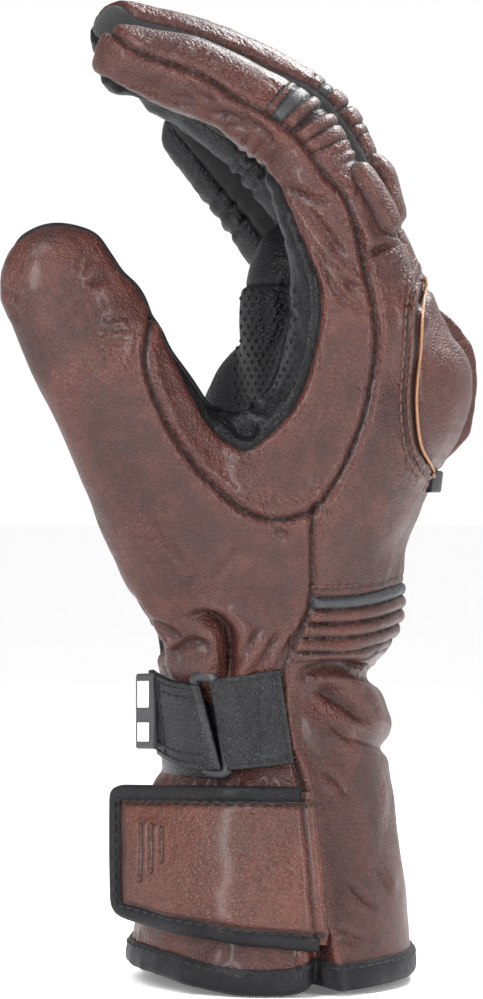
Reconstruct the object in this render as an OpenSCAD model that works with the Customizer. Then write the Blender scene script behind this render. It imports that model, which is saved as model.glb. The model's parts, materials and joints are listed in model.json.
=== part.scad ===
// Right-hand riding glove with a long cuff, in its worn shape with part-curled fingers.
// Frame: +Z towards the fingertips, +X out of the back of the hand, -Y on the thumb side.
// Origin: centre of the cuff opening, level with the lowest point of the hem. Millimetres.

/* [Leather] */
// Thickness of the outer leather with its membrane
leather_t = 1.6; // [1.2:0.1:2]
// Thickness of the soft lining
lining_t = 1.4; // [0.8:0.1:1.8]

/* [Cuff] */
// Half depth of the cuff opening, palm side to back
cuff_half_x = 39; // [37:0.5:41]
// Half width of the cuff opening, thumb side to little finger side
cuff_half_y = 46; // [44:0.5:48]
// Half depth of the narrow wrist under the strap
wrist_half_x = 31; // [30:0.5:32]
// Half width of the narrow wrist under the strap
wrist_half_y = 37.5; // [36.5:0.5:38.5]
// Height of the hinge line of the wrist
wrist_z = 99; // [98:0.5:100]

/* [Hand] */
// Half width of the palm over the four finger roots
palm_half_y = 49.5; // [49:0.5:51]
// Half depth of the hand at the finger roots
root_half_x = 17.5; // [17:0.5:18.5]
// Height of the knuckle armour above the leather
armour_h = 9; // [6:0.5:9.5]

/* [Closures] */
// Width of the wrist strap
strap_w = 27; // [24:0.5:28]
// Lower edge of the wrist strap
strap_z = 62.5; // [61:0.5:63]
// Lower edge of the cuff flap
flap_z = 17; // [15:0.5:19]
// Height of the cuff flap at its free end
flap_h = 40; // [36:0.5:42]
// Radius of the buckle's round bar
buckle_bar_r = 1.4; // [1.2:0.1:1.5]

/* [Joint ranges] */
// Angle that each finger root can close towards the palm
knuckle_flex = 12; // [8:1:16]
// Angle that each finger root can open
knuckle_extend = 12; // [5:1:14]
// Angle that each fingertip section can close
curl_flex = 28; // [15:1:30]
// Angle that each fingertip section can open
curl_extend = 20; // [10:1:22]
// Angle that the wrist can bend either way
wrist_bend = 12; // [6:1:14]

/* [Hidden] */
brown = [0.36, 0.17, 0.12];
black = [0.07, 0.07, 0.08];
grey = [0.25, 0.27, 0.29];
copper = [0.70, 0.40, 0.24];
lining_grey = [0.20, 0.20, 0.21];
gap = 0.3; // clearance kept between neighbouring soft pieces
play = 2; // spare angle at each joint beyond its range

// Each finger: name, root y, toe-in angle, knuckle bend [x, z], tip centre [x, z],
// half sizes [x, y] at the root, the bend and the tip.
FINGERS = [
    ["index", -37, -4, [8, 237.5], [-40, 257], [15, 11.8], [13.5, 11.5], [9.5, 9.6]],
    ["middle", -12.5, -1, [14, 243], [-41, 264], [15.5, 11.8], [13.8, 11.5], [9.8, 9.8]],
    ["ring", 12, 1.5, [1, 231], [-35, 253], [15, 11.6], [13.2, 11.3], [9.5, 9.5]],
    ["little", 35.5, 4, [-3, 219], [-27, 243], [12.8, 10.6], [11.6, 10.2], [8.6, 8.6]],
];
FINGER_PIECES = ["base_back", "base_palm", "pad", "ribs", "tip_back", "tip_palm"];

// ---- Rings and panels -------------------------------------------------------------------

function tail_of(list, from) = [for (i = [from:len(list) - 1]) list[i]];
function head_of(list, to) = [for (i = [0:to]) list[i]];
function unit(v) = v / norm(v);
function power(v, e) = sign(v) * pow(abs(v), e);
function mix(a, b, s) = a + (b - a) * s;

// A ring is a closed outline round a sleeve. Angle 0 is the back, 90 the little finger side,
// 180 the palm and -90 the thumb side. bevel tilts its back, palm, little finger and thumb
// halves about the middle, arch bends it towards the palm, and fall drops it to both sides.
FLAT = [0, 0, 0, 0];
function ring(centre, size, along = [0, 0, 1], back = [1, 0, 0], side = [0, 1, 0],
              bevel = FLAT, squareness = 1, arch = 0, fall = [0, 0]) =
    [centre, size, along, back, side, bevel, squareness, arch, fall];

arch_y = -8; // where the back of the hand is highest
function arched(y, arch) = -arch * (y - arch_y) * (y - arch_y);
function fallen(y, fall) = fall[0] * y - fall[1] * y * y;

function ring_point(r, v) =
    let (x = r[1][0] * power(cos(v), r[6]), y = r[1][1] * power(sin(v), r[6]),
         tilt = (x > 0 ? r[5][0] * x : -r[5][1] * x) + (y > 0 ? r[5][2] * y : -r[5][3] * y))
    r[0] + (x + arched(y, r[7])) * r[3] + y * r[4] + (tilt + fallen(y, r[8])) * r[2];

// The same ring, larger by d all round, or smaller where d is negative.
function grown(r, d) = [for (i = [0:len(r) - 1]) i == 1 ? r[1] + [d, d] : r[i]];
function grown_all(rings, d) = [for (r = rings) grown(r, d)];

// A closed shell between two sheets, each a list of rows of points.
module shell(outer, inner) {
    m = len(outer);
    n = len(outer[0]);
    function at(layer, i, j) = layer * m * n + i * n + j;
    // Two triangles over a patch whose corners run clockwise as seen from outside.
    function patch(a, b, c, d) = [[a, b, c], [a, c, d]];
    skins = [for (i = [0:m - 2]) for (j = [0:n - 2]) each concat(
        patch(at(0, i, j), at(0, i + 1, j), at(0, i + 1, j + 1), at(0, i, j + 1)),
        patch(at(1, i, j), at(1, i, j + 1), at(1, i + 1, j + 1), at(1, i + 1, j)))];
    ends = [for (j = [0:n - 2]) each concat(
        patch(at(0, 0, j), at(0, 0, j + 1), at(1, 0, j + 1), at(1, 0, j)),
        patch(at(0, m - 1, j), at(1, m - 1, j), at(1, m - 1, j + 1), at(0, m - 1, j + 1)))];
    sides = [for (i = [0:m - 2]) each concat(
        patch(at(0, i, 0), at(1, i, 0), at(1, i + 1, 0), at(0, i + 1, 0)),
        patch(at(0, i, n - 1), at(0, i + 1, n - 1), at(1, i + 1, n - 1), at(1, i, n - 1)))];
    polyhedron(concat([for (row = outer) each row], [for (row = inner) each row]),
               concat(skins, ends, sides), convexity = 6);
}

function angles(from, to, steps) = [for (j = [0:steps]) mix(from, to, j / steps)];
function rows(rings, from, to, steps) =
    [for (r = rings) [for (v = angles(from, to, steps)) ring_point(r, v)]];

// A closed shell between two stacks of rings, over the angles from..to.
module panel(outer, inner, from, to, steps) {
    shell(rows(outer, from, to, steps), rows(inner, from, to, steps));
}

// A piece of even thickness from depth inner to depth outer, over or under a stack of rings.
module layer(rings, outer, inner, from, to, steps) {
    panel(grown_all(rings, outer), grown_all(rings, inner), from, to, steps);
}

// ---- Cuff -------------------------------------------------------------------------------

function cuff_ring(z, x, half_x, half_y, bevel = FLAT) =
    ring([x, 0, z], [half_x, half_y], bevel = bevel, squareness = 0.92);

wrist_tilt = tan(wrist_bend / 2 + play / 2) * [1, 1, 0, 0];
cuff_rings = [
    cuff_ring(4, 0, cuff_half_x, cuff_half_y),
    cuff_ring(20, -0.5, cuff_half_x - 1, cuff_half_y - 1),
    cuff_ring(38, -1.5, cuff_half_x - 3.5, cuff_half_y - 3.5),
    cuff_ring(56, 0, mix(wrist_half_x, cuff_half_x, 0.3), mix(wrist_half_y, cuff_half_y, 0.3)),
    cuff_ring(68, 0.8, wrist_half_x + 0.5, wrist_half_y + 0.5),
    cuff_ring(80, 0, wrist_half_x, wrist_half_y),
    cuff_ring(89, 0.5, wrist_half_x + 0.3, wrist_half_y + 0.3),
    cuff_ring(wrist_z - gap, 2, wrist_half_x + 1, wrist_half_y + 1, -wrist_tilt),
];
// The cuff's outline at any height, between the rings above.
function cuff_at(z, i = 0) =
    let (a = cuff_rings[i], b = cuff_rings[i + 1])
    i < len(cuff_rings) - 2 && b[0].z < z ? cuff_at(z, i + 1)
        : let (s = (z - a[0].z) / (b[0].z - a[0].z))
          cuff_ring(z, mix(a[0].x, b[0].x, s), mix(a[1][0], b[1][0], s), mix(a[1][1], b[1][1], s));
function cuff_slice(z0, z1, steps) = [for (i = [0:steps]) cuff_at(mix(z0, z1, i / steps))];

seam_thumb_side = -66; // angle of the seam that holds the flap
seam_little_side = 96;

module cuff_back_panel() {
    color(brown) layer(cuff_rings, 0, -leather_t, seam_thumb_side + 0.4, seam_little_side, 26);
}

module cuff_palm_panel() {
    color(brown) layer(cuff_rings, 0, -leather_t, seam_little_side + 0.4, 278, 26);
}

// Narrow fold of leather that lets the cuff open wider under the flap.
module cuff_gusset() {
    color(brown) layer(cuff_rings, 0, -leather_t, 278.4, 360 + seam_thumb_side, 3);
}

module cuff_hem_binding() {
    hem = [for (z = [0, 2, 7.5]) cuff_ring(z, 0, cuff_half_x + gap, cuff_half_y + gap)];
    cup = [for (z = [0, 2, 3.7]) cuff_ring(z, 0, cuff_half_x, cuff_half_y)];
    color(black) {
        layer(hem, 1.2, 0, -180, -0.5, 24);
        layer(hem, 1.2, 0, 0, 179.5, 24);
        layer(cup, 0, -leather_t, -180, -0.5, 24);
        layer(cup, 0, -leather_t, 0, 179.5, 24);
    }
}

module cuff_lining() {
    lined = head_of(cuff_rings, 6);
    depth = -leather_t - gap;
    color(lining_grey) {
        layer(lined, depth, depth - lining_t, -90, 89.6, 16);
        layer(lined, depth, depth - lining_t, 90, 269.6, 16);
    }
}

// Soft half of the cuff's hook-and-loop closure.
module cuff_loop_patch() {
    color(black) layer(cuff_slice(flap_z + 5, flap_z + flap_h - 6, 3), gap + 1, gap, -172, -100, 10);
}

// ---- Flap -------------------------------------------------------------------------------

flap_from = -163;
flap_binding_t = 2.4;
flap_stand_off = 2.6;
function flap_slice(inset) = cuff_slice(flap_z + inset, flap_z + flap_h - inset, 3);

module flap_panel() {
    color(brown) layer(flap_slice(4), flap_stand_off + 1.8, flap_stand_off,
                       flap_from + 6, seam_thumb_side - 0.5, 14);
}

// Folded tape round the flap's three free edges.
module flap_binding() {
    high = cuff_slice(flap_z + flap_h - 3.7, flap_z + flap_h, 1);
    low = cuff_slice(flap_z, flap_z + 3.7, 1);
    proud = flap_stand_off + flap_binding_t;
    color(black) {
        layer(high, proud, flap_stand_off - 0.3, flap_from, seam_thumb_side - 0.5, 14);
        layer(low, proud, flap_stand_off - 0.3, flap_from, seam_thumb_side - 0.5, 14);
        layer(flap_slice(4), proud, flap_stand_off - 0.3, flap_from, flap_from + 5.6, 2);
    }
}

module flap_hook_patch() {
    color(black) layer(flap_slice(7), flap_stand_off - gap / 2, flap_stand_off - 1,
                       flap_from + 10, -112, 8);
}

// ---- Wrist strap ------------------------------------------------------------------------

buckle_v = -112; // angle of the buckle's middle
buckle_w = 11;
buckle_h = strap_w + 5;
strap_mid = strap_z + strap_w / 2;
strap_rings = cuff_slice(strap_z, strap_z + strap_w, 3);
tag_rings = cuff_slice(strap_z + 3, strap_z + strap_w - 3, 2);

// The strap's fixed inner run, from the little finger seam round the palm side.
module strap_band() {
    color(black) layer(strap_rings, gap + 1.5, gap, 100, 240, 22);
}

// Short folded strap that holds the buckle, sewn into the back panel's seam.
module buckle_keeper() {
    color(black) layer(strap_rings, gap + 2.6, gap, buckle_v + 11, seam_thumb_side - 8, 5);
}

// Slotted plastic buckle: a flat rounded frame that lies on the wrist.
module strap_buckle() {
    base = ring_point(cuff_at(strap_mid), buckle_v);
    color(black)
    translate(base) rotate([0, 0, buckle_v]) translate([3.9, 0, 0]) rotate([0, 90, 0])
    linear_extrude(2 * buckle_bar_r, center = true) difference() {
        offset(2, $fn = 24) square([buckle_h - 4, buckle_w - 4], center = true);
        square([strap_w + 0.6, buckle_w - 4 * buckle_bar_r], center = true);
    }
}

tail_from = 190;
tail_to = 360 + buckle_v - 12.5;
module strap_tail() {
    color(black) layer(strap_rings, gap + 4.2, gap + 2, tail_from, tail_to, 9);
}

// Rubber pull tag on the strap's free end.
module strap_tag() {
    color(grey) layer(tag_rings, gap + 6.1, gap + 4.7, tail_from - 2, tail_from + 12, 3);
}

// ---- Hand -------------------------------------------------------------------------------

root_z = 205.9;
root_x = 26;
root_arch = 0.006;
root_fall = [-0.1667, 0.0061];
palm_ease = 17; // extra angle that the palm is trimmed by where the fingers close over it
knuckle_tilt = [tan(knuckle_extend / 2 + play / 2), tan(knuckle_flex / 2 + play / 2 + palm_ease), 0, 0];

function hand_ring(z, x, half_x, half_y, arch, fall = 0, bevel = FLAT) =
    ring([x, 0, z], [half_x, half_y], bevel = bevel, squareness = 0.82, arch = arch,
         fall = root_fall * fall);

hand_rings = [
    hand_ring(wrist_z + gap, 2, wrist_half_x + 1, wrist_half_y + 1.5, 0, bevel = wrist_tilt),
    hand_ring(112, 2.5, 33.5, 40, 0.0005),
    hand_ring(126, 6, 32, 44, 0.001),
    hand_ring(142, 15, 29.5, 47.5, 0.003),
    hand_ring(160, 24, 25, palm_half_y - 0.5, 0.005, 0.1),
    hand_ring(178, 27.5, 21.5, palm_half_y, 0.006, 0.5),
    hand_ring(192, 27, 19, palm_half_y, 0.006, 0.8),
    hand_ring(root_z - gap, root_x, root_half_x, palm_half_y, root_arch, 1, -knuckle_tilt),
];
function hand_at(z, i = 0) =
    let (a = hand_rings[i], b = hand_rings[i + 1])
    i < len(hand_rings) - 2 && b[0].z < z ? hand_at(z, i + 1)
        : let (s = (z - a[0].z) / (b[0].z - a[0].z))
          hand_ring(z, mix(a[0].x, b[0].x, s), mix(a[1][0], b[1][0], s), mix(a[1][1], b[1][1], s),
                    mix(a[7], b[7], s), mix(a[8][1], b[8][1], s) / root_fall[1]);
function hand_slice(z0, z1, steps) = [for (i = [0:steps]) hand_at(mix(z0, z1, i / steps))];

thumb_hole_top = 4; // index of the hand ring at the top of the thumb opening

module hand_back_panel() {
    color(brown) layer(hand_rings, 0, -leather_t, -64, 74, 22);
}

module hand_side_panel() {
    color(black) layer(hand_rings, 0, -leather_t, 74.4, 112, 7);
}

module palm_panel() {
    color(black) {
        layer(tail_of(hand_rings, thumb_hole_top), 0, -leather_t, 112.4, 236, 18);
        layer(head_of(hand_rings, thumb_hole_top), 0, -leather_t, 112.4, 186, 12);
        thumb_saddle([105.5, 120, 135, 150, 165, 180, 195, 210, 225, 239.5]);
    }
}

// Textured second layer on the heel and middle of the palm.
module palm_grip_patch() {
    color(black) layer(hand_slice(150, 196, 4), gap + 1.1, gap, 128, 182, 9);
}

// Brown leather between the thumb and the index finger, and round the root of the thumb.
module web_panel() {
    color(brown) {
        layer(tail_of(hand_rings, thumb_hole_top), 0, -leather_t, 236.4, 295.6, 8);
        layer(head_of(hand_rings, thumb_hole_top), 0, -leather_t, 278, 295.6, 3);
        layer([hand_rings[0], hand_at(thumb_hole[0] - 0.4)], 0, -leather_t, 186.4, 277.6, 8);
        thumb_saddle(angles(-120, 105, 15));
    }
}

module hand_lining() {
    depth = -leather_t - gap;
    color(lining_grey) {
        layer(tail_of(hand_rings, thumb_hole_top), depth, depth - lining_t, -88, 89.6, 14);
        layer(tail_of(hand_rings, thumb_hole_top), depth, depth - lining_t, 90, 271.6, 14);
        layer(concat([for (i = [1:thumb_hole_top - 1]) hand_rings[i]], [hand_at(hand_rings[thumb_hole_top][0].z - gap)]),
              depth, depth - lining_t, -80, 185, 20);
    }
}

// Knuckle armour: foam, a hard shell and its leather cover, one over the other. Each runs
// from height low to height high over the leather, and swells by the same dome.
armour_bottom = 146;
armour_top = 199;
cover_edge = 3.9; // height of the cover at the dome's edge
module armour_layer(low, high, inset, from, to) {
    places = [for (i = [0:8]) mix(armour_bottom + inset, armour_top - inset, i / 8)];
    swell = [for (i = [0:8]) (armour_h - cover_edge) * sin(180 * i / 8)];
    panel([for (i = [0:8]) grown(hand_at(places[i]), high + swell[i])],
          [for (i = [0:8]) grown(hand_at(places[i]), low + swell[i])], from, to, 16);
}

module knuckle_foam() {
    color(black) {
        places = [for (i = [0:8]) mix(armour_bottom + 4, armour_top - 4, i / 8)];
        panel([for (i = [0:8]) grown(hand_at(places[i]), 0.9 + (armour_h - cover_edge) * sin(180 * i / 8))],
              [for (z = places) grown(hand_at(z), gap)], -46, 50, 16);
    }
}

module knuckle_shell() {
    color(black) armour_layer(1.2, 2.2, 4, -48, 52);
}

module knuckle_cover() {
    color(brown) armour_layer(cover_edge - 1.4, cover_edge, 0, -50, 54);
}

// Piping down the thumb side edge of the cover.
module knuckle_piping() {
    color(copper) layer(hand_slice(armour_bottom, armour_top, 8), gap + 1.4, gap, -53, -51, 2);
}

// End of the mesh vent that shows below the armour.
module knuckle_vent() {
    color(black) layer(hand_slice(139, 145.6, 1), gap + 4, gap, -18, -8, 2);
}

// ---- Wrist ribs -------------------------------------------------------------------------

rib_pitch = 3.8;
rib_z = wrist_z - 2;
function wrist_at(z) = z < wrist_z ? cuff_at(z) : hand_at(z);
function rib_slices(z, rise) = [for (i = [0:3])
    grown(wrist_at(z + [0, 0.3, 0.7, 1 - gap / rib_pitch][i] * rib_pitch), [0.9, 2.6, 2.6, 0.9][i] * rise + 0.7)];

module wrist_rib(i) {
    panel(rib_slices(rib_z + i * rib_pitch, 1), rib_slices(rib_z + i * rib_pitch, 0), -60, 66, 14);
}

// Padded stretch ribs over the back of the wrist.
module wrist_ribs() {
    color(brown) for (i = [0:2]) wrist_rib(i);
}

module wrist_accent_rib() {
    color(grey) wrist_rib(3);
}

// Elastic sleeve that joins the linings of the hand and the cuff.
module wrist_sleeve() {
    slices = [for (z = [89.5, 94, wrist_z - 0.1, 105, 111.5]) wrist_at(z)];
    color(black) layer(slices, -leather_t - 1, -leather_t - 2, -180, 179.5, 28);
}

// ---- Fingers ----------------------------------------------------------------------------

rib_fan = 80; // angle that the stretch ribs fan over at each bend
rib_span = 66; // how far they reach round the finger from the middle of its back

function root_of(f) = [root_x + arched(f[1], root_arch), f[1], root_z + fallen(f[1], root_fall)];
// A point given in the finger's own plane, which turns by the toe-in angle about its root.
function in_plane(f, p) =
    let (r = root_of(f), d = p.x - r.x) [r.x + d * cos(f[2]), r.y + d * sin(f[2]), p.y];
function side_of(f) = [-sin(f[2]), cos(f[2]), 0];
// Angle between the two sections, and the bevel that mitres their palm sides with room to
// close and trims their backs to the fan of ribs.
function turn_of(f) = acos(unit(in_plane(f, f[3]) - root_of(f)) * unit(in_plane(f, f[4]) - in_plane(f, f[3])));
function curl_tilt(f) = [tan((rib_fan - turn_of(f)) / 2), tan((turn_of(f) + curl_flex + play) / 2), 0, 0];
function lean_of(f) = let (d = in_plane(f, f[3]) - root_of(f)) atan2(-d.x, d.z);
function root_tilt(f) =
    [knuckle_tilt[0], tan(knuckle_flex / 2 + play / 2 + max(0, lean_of(f) - 9)), 0, 0]
    + [0, 0, 1, -1] * (root_fall[0] - 2 * root_fall[1] * f[1]);

function sleeve_ring(f, centre, size, along, bevel = FLAT) =
    ring(centre, size, along, cross(side_of(f), along), side_of(f), bevel, 0.93);

// Rings of the section between the root and the bend.
function base_rings(f, grow) =
    let (a = root_of(f), b = in_plane(f, f[3]), along = unit(b - a), g = [grow, grow])
    [for (s = [0, 0.22, 0.42, 0.6, 1])
        sleeve_ring(f, mix(a, b, s) + along * (s == 0 ? gap : s == 1 ? -gap : 0),
                    mix(f[5], f[6], s) + g, along,
                    s == 0 ? root_tilt(f) : s == 1 ? -curl_tilt(f) : FLAT)];

tip_round = 1.15; // length of the rounded end against its half width
tip_bow = 3.5; // rise of the curved back over the section's middle
// Rings of the section beyond the bend, closed by a rounded end.
function tip_rings(f, grow) =
    let (a = in_plane(f, f[3]), b = in_plane(f, f[4]), along = unit(b - a), g = [grow, grow],
         back = cross(side_of(f), along))
    concat(
        [for (s = [0, 0.38, 0.58, 0.78])
            sleeve_ring(f, mix(a, b, s) + tip_bow * sin(180 * s) * back + along * (s == 0 ? gap : 0),
                        mix(f[6], f[7], s) + g,
                        unit(along + 0.8 * tip_bow * 3.14 / norm(b - a) * cos(180 * s) * (s == 0 ? 0 : 1) * back),
                        s == 0 ? curl_tilt(f) : FLAT)],
        [for (u = [0, 30, 55, 75, 86])
            let (to = unit(along - 0.8 * tip_bow * 3.14 / norm(b - a) * back))
            sleeve_ring(f, b + to * (f[7][0] + grow) * tip_round * sin(u), (f[7] + g) * cos(u), to)]);

module sleeve(outer, inner, from, to, steps) {
    panel(outer, inner, from, to, steps);
}

module finger_base_back(f) {
    color(brown) sleeve(base_rings(f, 0), base_rings(f, -leather_t), -84, 84, 10);
}

module finger_base_palm(f) {
    color(black) sleeve(base_rings(f, 0), base_rings(f, -leather_t), 85, 275, 12);
}

module finger_tip_back(f) {
    color(brown) sleeve(tip_rings(f, 0), tip_rings(f, -leather_t), -84, 84, 10);
}

module finger_tip_palm(f) {
    color(black) sleeve(tip_rings(f, 0), tip_rings(f, -leather_t), 85, 275, 12);
}

// Raised pad on the back of the section next to the hand.
module finger_pad(f) {
    rings = [for (i = [1, 2, 3]) base_rings(f, 0)[i]];
    color(brown) panel([grown(rings[0], gap + 1), grown(rings[1], gap + 3), grown(rings[2], gap + 1)],
                       grown_all(rings, gap), -42, 42, 6);
}

// A ring standing on the axis of the bend, at an angle from the section next to the hand.
function spoke(f, angle, grow) =
    let (before = unit(in_plane(f, f[3]) - root_of(f)),
         out = cos(angle) * cross(side_of(f), before) + sin(angle) * before)
    ring(in_plane(f, f[3]), f[6] + [grow, grow], cross(out, side_of(f)), out, side_of(f), FLAT, 0.93);

// Stretch ribs that fan over the back of the bend. They open and close with it.
module finger_ribs(f) {
    first = (turn_of(f) - rib_fan) / 2 + 1;
    last = (turn_of(f) + rib_fan) / 2 - 1;
    for (i = [0:3]) {
        edges = [for (s = [0.04, 0.3, 0.7, 0.96]) mix(first, last, (i + s) / 4)];
        rise = [0, 1.2, 1.2, 0];
        color(brown)
        panel([for (k = [0:3]) spoke(f, edges[k], rise[k])],
              [for (k = [0:3]) spoke(f, edges[k], -leather_t)], -rib_span, rib_span, 10);
    }
}

// Strip of stretch fabric between two finger roots.
module fourchette(f, g) {
    y = (f[1] + g[1]) / 2;
    low = root_z + fallen(y, root_fall) - 9;
    x = root_x + arched(y, root_arch);
    color(black) translate([x - 10, y - 0.3, low]) cube([18, 0.6, 7.5]);
}

// ---- Thumb ------------------------------------------------------------------------------

thumb_root = [-12, -30, 110];
thumb_bend = [-39.5, -50, 163];
thumb_tip = [-56, -54, 196];
thumb_sizes = [[13.5, 24.7], [12.5, 19.5], [11.5, 16]]; // half thickness, half width
thumb_curl = [4, 18];
thumb_swing = [12, 6];
thumb_turn = acos(unit(thumb_bend - thumb_root) * unit(thumb_tip - thumb_bend));
thumb_curl_tilt = [tan((thumb_curl[0] - thumb_turn + play) / 2), tan((thumb_curl[1] + thumb_turn + 3 * play) / 2), 0, 0];
thumb_swing_tilt = [0, 0, tan(thumb_swing[0] / 2 + play / 2), tan(thumb_swing[1] / 2 + play / 2)];
thumb_start = 0.42;
// The thumb's back faces -Y, and its width lies across the view from the thumb side.
function thumb_back(along) = unit([0, -1, 0] - ([0, -1, 0] * along) * along);

function thumb_ring(centre, size, along, bevel = FLAT) =
    ring(centre, size, along, thumb_back(along), cross(along, thumb_back(along)), bevel, 0.95);

// Ring of the base section, at a share of the way from the root to the bend.
function thumb_base_ring(s, grow, bevel = FLAT, shift = 0) =
    let (along = unit(thumb_bend - thumb_root))
    thumb_ring(mix(thumb_root, thumb_bend, s) + along * shift,
               mix(thumb_sizes[0], thumb_sizes[1], s) + [grow, grow], along, bevel);

function thumb_base_rings(grow) = [
    thumb_base_ring(thumb_start, grow, thumb_swing_tilt, gap),
    thumb_base_ring(0.6, grow),
    thumb_base_ring(0.8, grow),
    thumb_base_ring(1, grow, -thumb_curl_tilt, -gap),
];

function thumb_tip_rings(grow) =
    let (along = unit(thumb_tip - thumb_bend), g = [grow, grow])
    concat(
        [for (s = [0, 0.3, 0.65])
            thumb_ring(mix(thumb_bend, thumb_tip, s) + along * (s == 0 ? gap : 0),
                       mix(thumb_sizes[1], thumb_sizes[2], s) + g, along, s == 0 ? thumb_curl_tilt : FLAT)],
        [for (u = [0, 30, 55, 75, 86])
            thumb_ring(thumb_tip + along * (thumb_sizes[2][1] + grow) * sin(u), (thumb_sizes[2] + g) * cos(u), along)]);

// Saddle from the edge of the hand's thumb opening up to the thumb's base section.
thumb_hole = [105.8, 159.6]; // lowest and highest point of the opening
thumb_hole_v = [186.4, 277.6]; // angles of its palm and back edges
function hole_point(v, depth) =
    let (reach = max(abs(cos(v)), abs(sin(v))))
    ring_point(grown(hand_at(mix(thumb_hole[0], thumb_hole[1], 0.5 + 0.5 * sin(v) / reach)), depth),
               mix(thumb_hole_v[0], thumb_hole_v[1], 0.5 + 0.5 * cos(v) / reach));
heel_bulge = 7; // how far the heel of the thumb swells out below the thumb
function saddle_rows(grow, list) =
    let (end = thumb_base_ring(thumb_start, grow, -thumb_swing_tilt, -gap),
         low = thumb_base_ring(thumb_start - 0.13, grow))
    [for (i = [0:3]) [for (v = list)
        let (hole = hole_point(v, grow), mid = ring_point(low, v), top = ring_point(end, v),
             swell = -heel_bulge * max(0, -sin(v)) * low[4])
        i == 0 ? hole : i == 1 ? mix(hole, mid, 0.45) + swell
            : i == 2 ? mix(mix(hole, mid, 0.85), top, 0.3) + 0.5 * swell : top]];

module thumb_saddle(list) {
    shell(saddle_rows(0, list), saddle_rows(-leather_t, list));
}

module thumb_base_back() {
    color(brown) sleeve(thumb_base_rings(0), thumb_base_rings(-leather_t), -94, 94, 14);
}

module thumb_base_palm() {
    color(black) sleeve(thumb_base_rings(0), thumb_base_rings(-leather_t), 95, 265, 12);
}

module thumb_tip_back() {
    color(brown) sleeve(thumb_tip_rings(0), thumb_tip_rings(-leather_t), -90, 90, 14);
}

module thumb_tip_palm() {
    color(black) sleeve(thumb_tip_rings(0), thumb_tip_rings(-leather_t), 94, 266, 12);
}

// Piping in the seam round the thumb's end.
module thumb_tip_piping() {
    color(black) for (v = [90.4, -93.6])
        sleeve(grown_all(head_of(thumb_tip_rings(0), 6), 0.6), grown_all(head_of(thumb_tip_rings(0), 6), -1), v, v + 3.2, 2);
}

// ---- Nodes ------------------------------------------------------------------------------

cuff_back_panel();
cuff_palm_panel();
cuff_gusset();
cuff_hem_binding();
cuff_lining();
cuff_loop_patch();
strap_band();
buckle_keeper();
flap_panel();
flap_binding();
flap_hook_patch();
strap_buckle();
strap_tail();
strap_tag();
hand_back_panel();
palm_panel();
palm_grip_patch();
web_panel();
hand_side_panel();
hand_lining();
knuckle_foam();
knuckle_shell();
knuckle_cover();
knuckle_piping();
knuckle_vent();
wrist_ribs();
wrist_accent_rib();
wrist_sleeve();
thumb_base_back();
thumb_base_palm();
thumb_tip_back();
thumb_tip_palm();
thumb_tip_piping();
fourchette(FINGERS[0], FINGERS[1]);  // index_middle_fourchette
fourchette(FINGERS[1], FINGERS[2]);  // middle_ring_fourchette
fourchette(FINGERS[2], FINGERS[3]);  // ring_little_fourchette
for (f = FINGERS) {
    finger_base_back(f);
    finger_base_palm(f);
    finger_pad(f);
    finger_ribs(f);
    finger_tip_back(f);
    finger_tip_palm(f);
}
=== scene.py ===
"""Looks of a right-hand riding glove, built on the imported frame.

The leather skin is one implicit shape (an oval body, a thumb and four fingers, softly joined), meshed on a
fine grid, cut exactly along every seam, then pressed, puckered and padded along its normals and split into
one piece for each leather panel and body. Straps, bindings, piping and stitches are swept along the skin.
Lengths are millimetres in the frame's axes until a mesh is made: +Z fingertips, +X back of the hand, -Y thumb side.
"""
import json
import math
import bpy
import numpy as np
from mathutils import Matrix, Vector
from mathutils.bvhtree import BVHTree


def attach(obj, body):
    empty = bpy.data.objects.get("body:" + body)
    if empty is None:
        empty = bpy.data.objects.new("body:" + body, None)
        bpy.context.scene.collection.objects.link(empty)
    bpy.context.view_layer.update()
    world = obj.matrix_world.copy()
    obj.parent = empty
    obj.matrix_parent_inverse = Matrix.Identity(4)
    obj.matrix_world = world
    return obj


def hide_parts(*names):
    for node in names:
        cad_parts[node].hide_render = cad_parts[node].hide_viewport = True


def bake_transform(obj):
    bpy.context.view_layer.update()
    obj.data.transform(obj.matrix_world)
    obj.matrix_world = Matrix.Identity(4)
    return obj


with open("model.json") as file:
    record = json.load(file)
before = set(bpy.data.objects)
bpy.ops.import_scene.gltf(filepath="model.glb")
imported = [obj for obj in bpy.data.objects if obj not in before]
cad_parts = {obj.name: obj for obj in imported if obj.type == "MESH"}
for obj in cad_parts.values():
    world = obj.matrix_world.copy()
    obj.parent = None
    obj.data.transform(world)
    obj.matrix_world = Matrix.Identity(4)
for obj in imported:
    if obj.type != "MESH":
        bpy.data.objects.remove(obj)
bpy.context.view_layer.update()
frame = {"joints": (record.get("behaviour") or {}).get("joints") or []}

GRID = 0.85

# ---- Curves and noise -------------------------------------------------------------------

def curve_at(table, x):
    """Smooth values between the rows of a table whose first column is the place."""
    t = np.asarray(table, float)
    xs, ys = t[:, 0], t[:, 1:]
    h = np.diff(xs)
    slope = np.diff(ys, axis=0) / h[:, None]
    m = np.zeros_like(ys)
    m[1:-1] = np.where(slope[:-1] * slope[1:] > 0,
                       2 * slope[:-1] * slope[1:] / (slope[:-1] + slope[1:] + 1e-12), 0)
    m[0], m[-1] = slope[0], slope[-1]
    x = np.clip(x, xs[0], xs[-1])
    i = np.clip(np.searchsorted(xs, x) - 1, 0, len(xs) - 2)
    s = ((x - xs[i]) / h[i])[:, None]
    hi = h[i][:, None]
    return ((1 + 2 * s) * (1 - s) ** 2 * ys[i] + s * (1 - s) ** 2 * hi * m[i]
            + s * s * (3 - 2 * s) * ys[i + 1] + s * s * (s - 1) * hi * m[i + 1]).T


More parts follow.
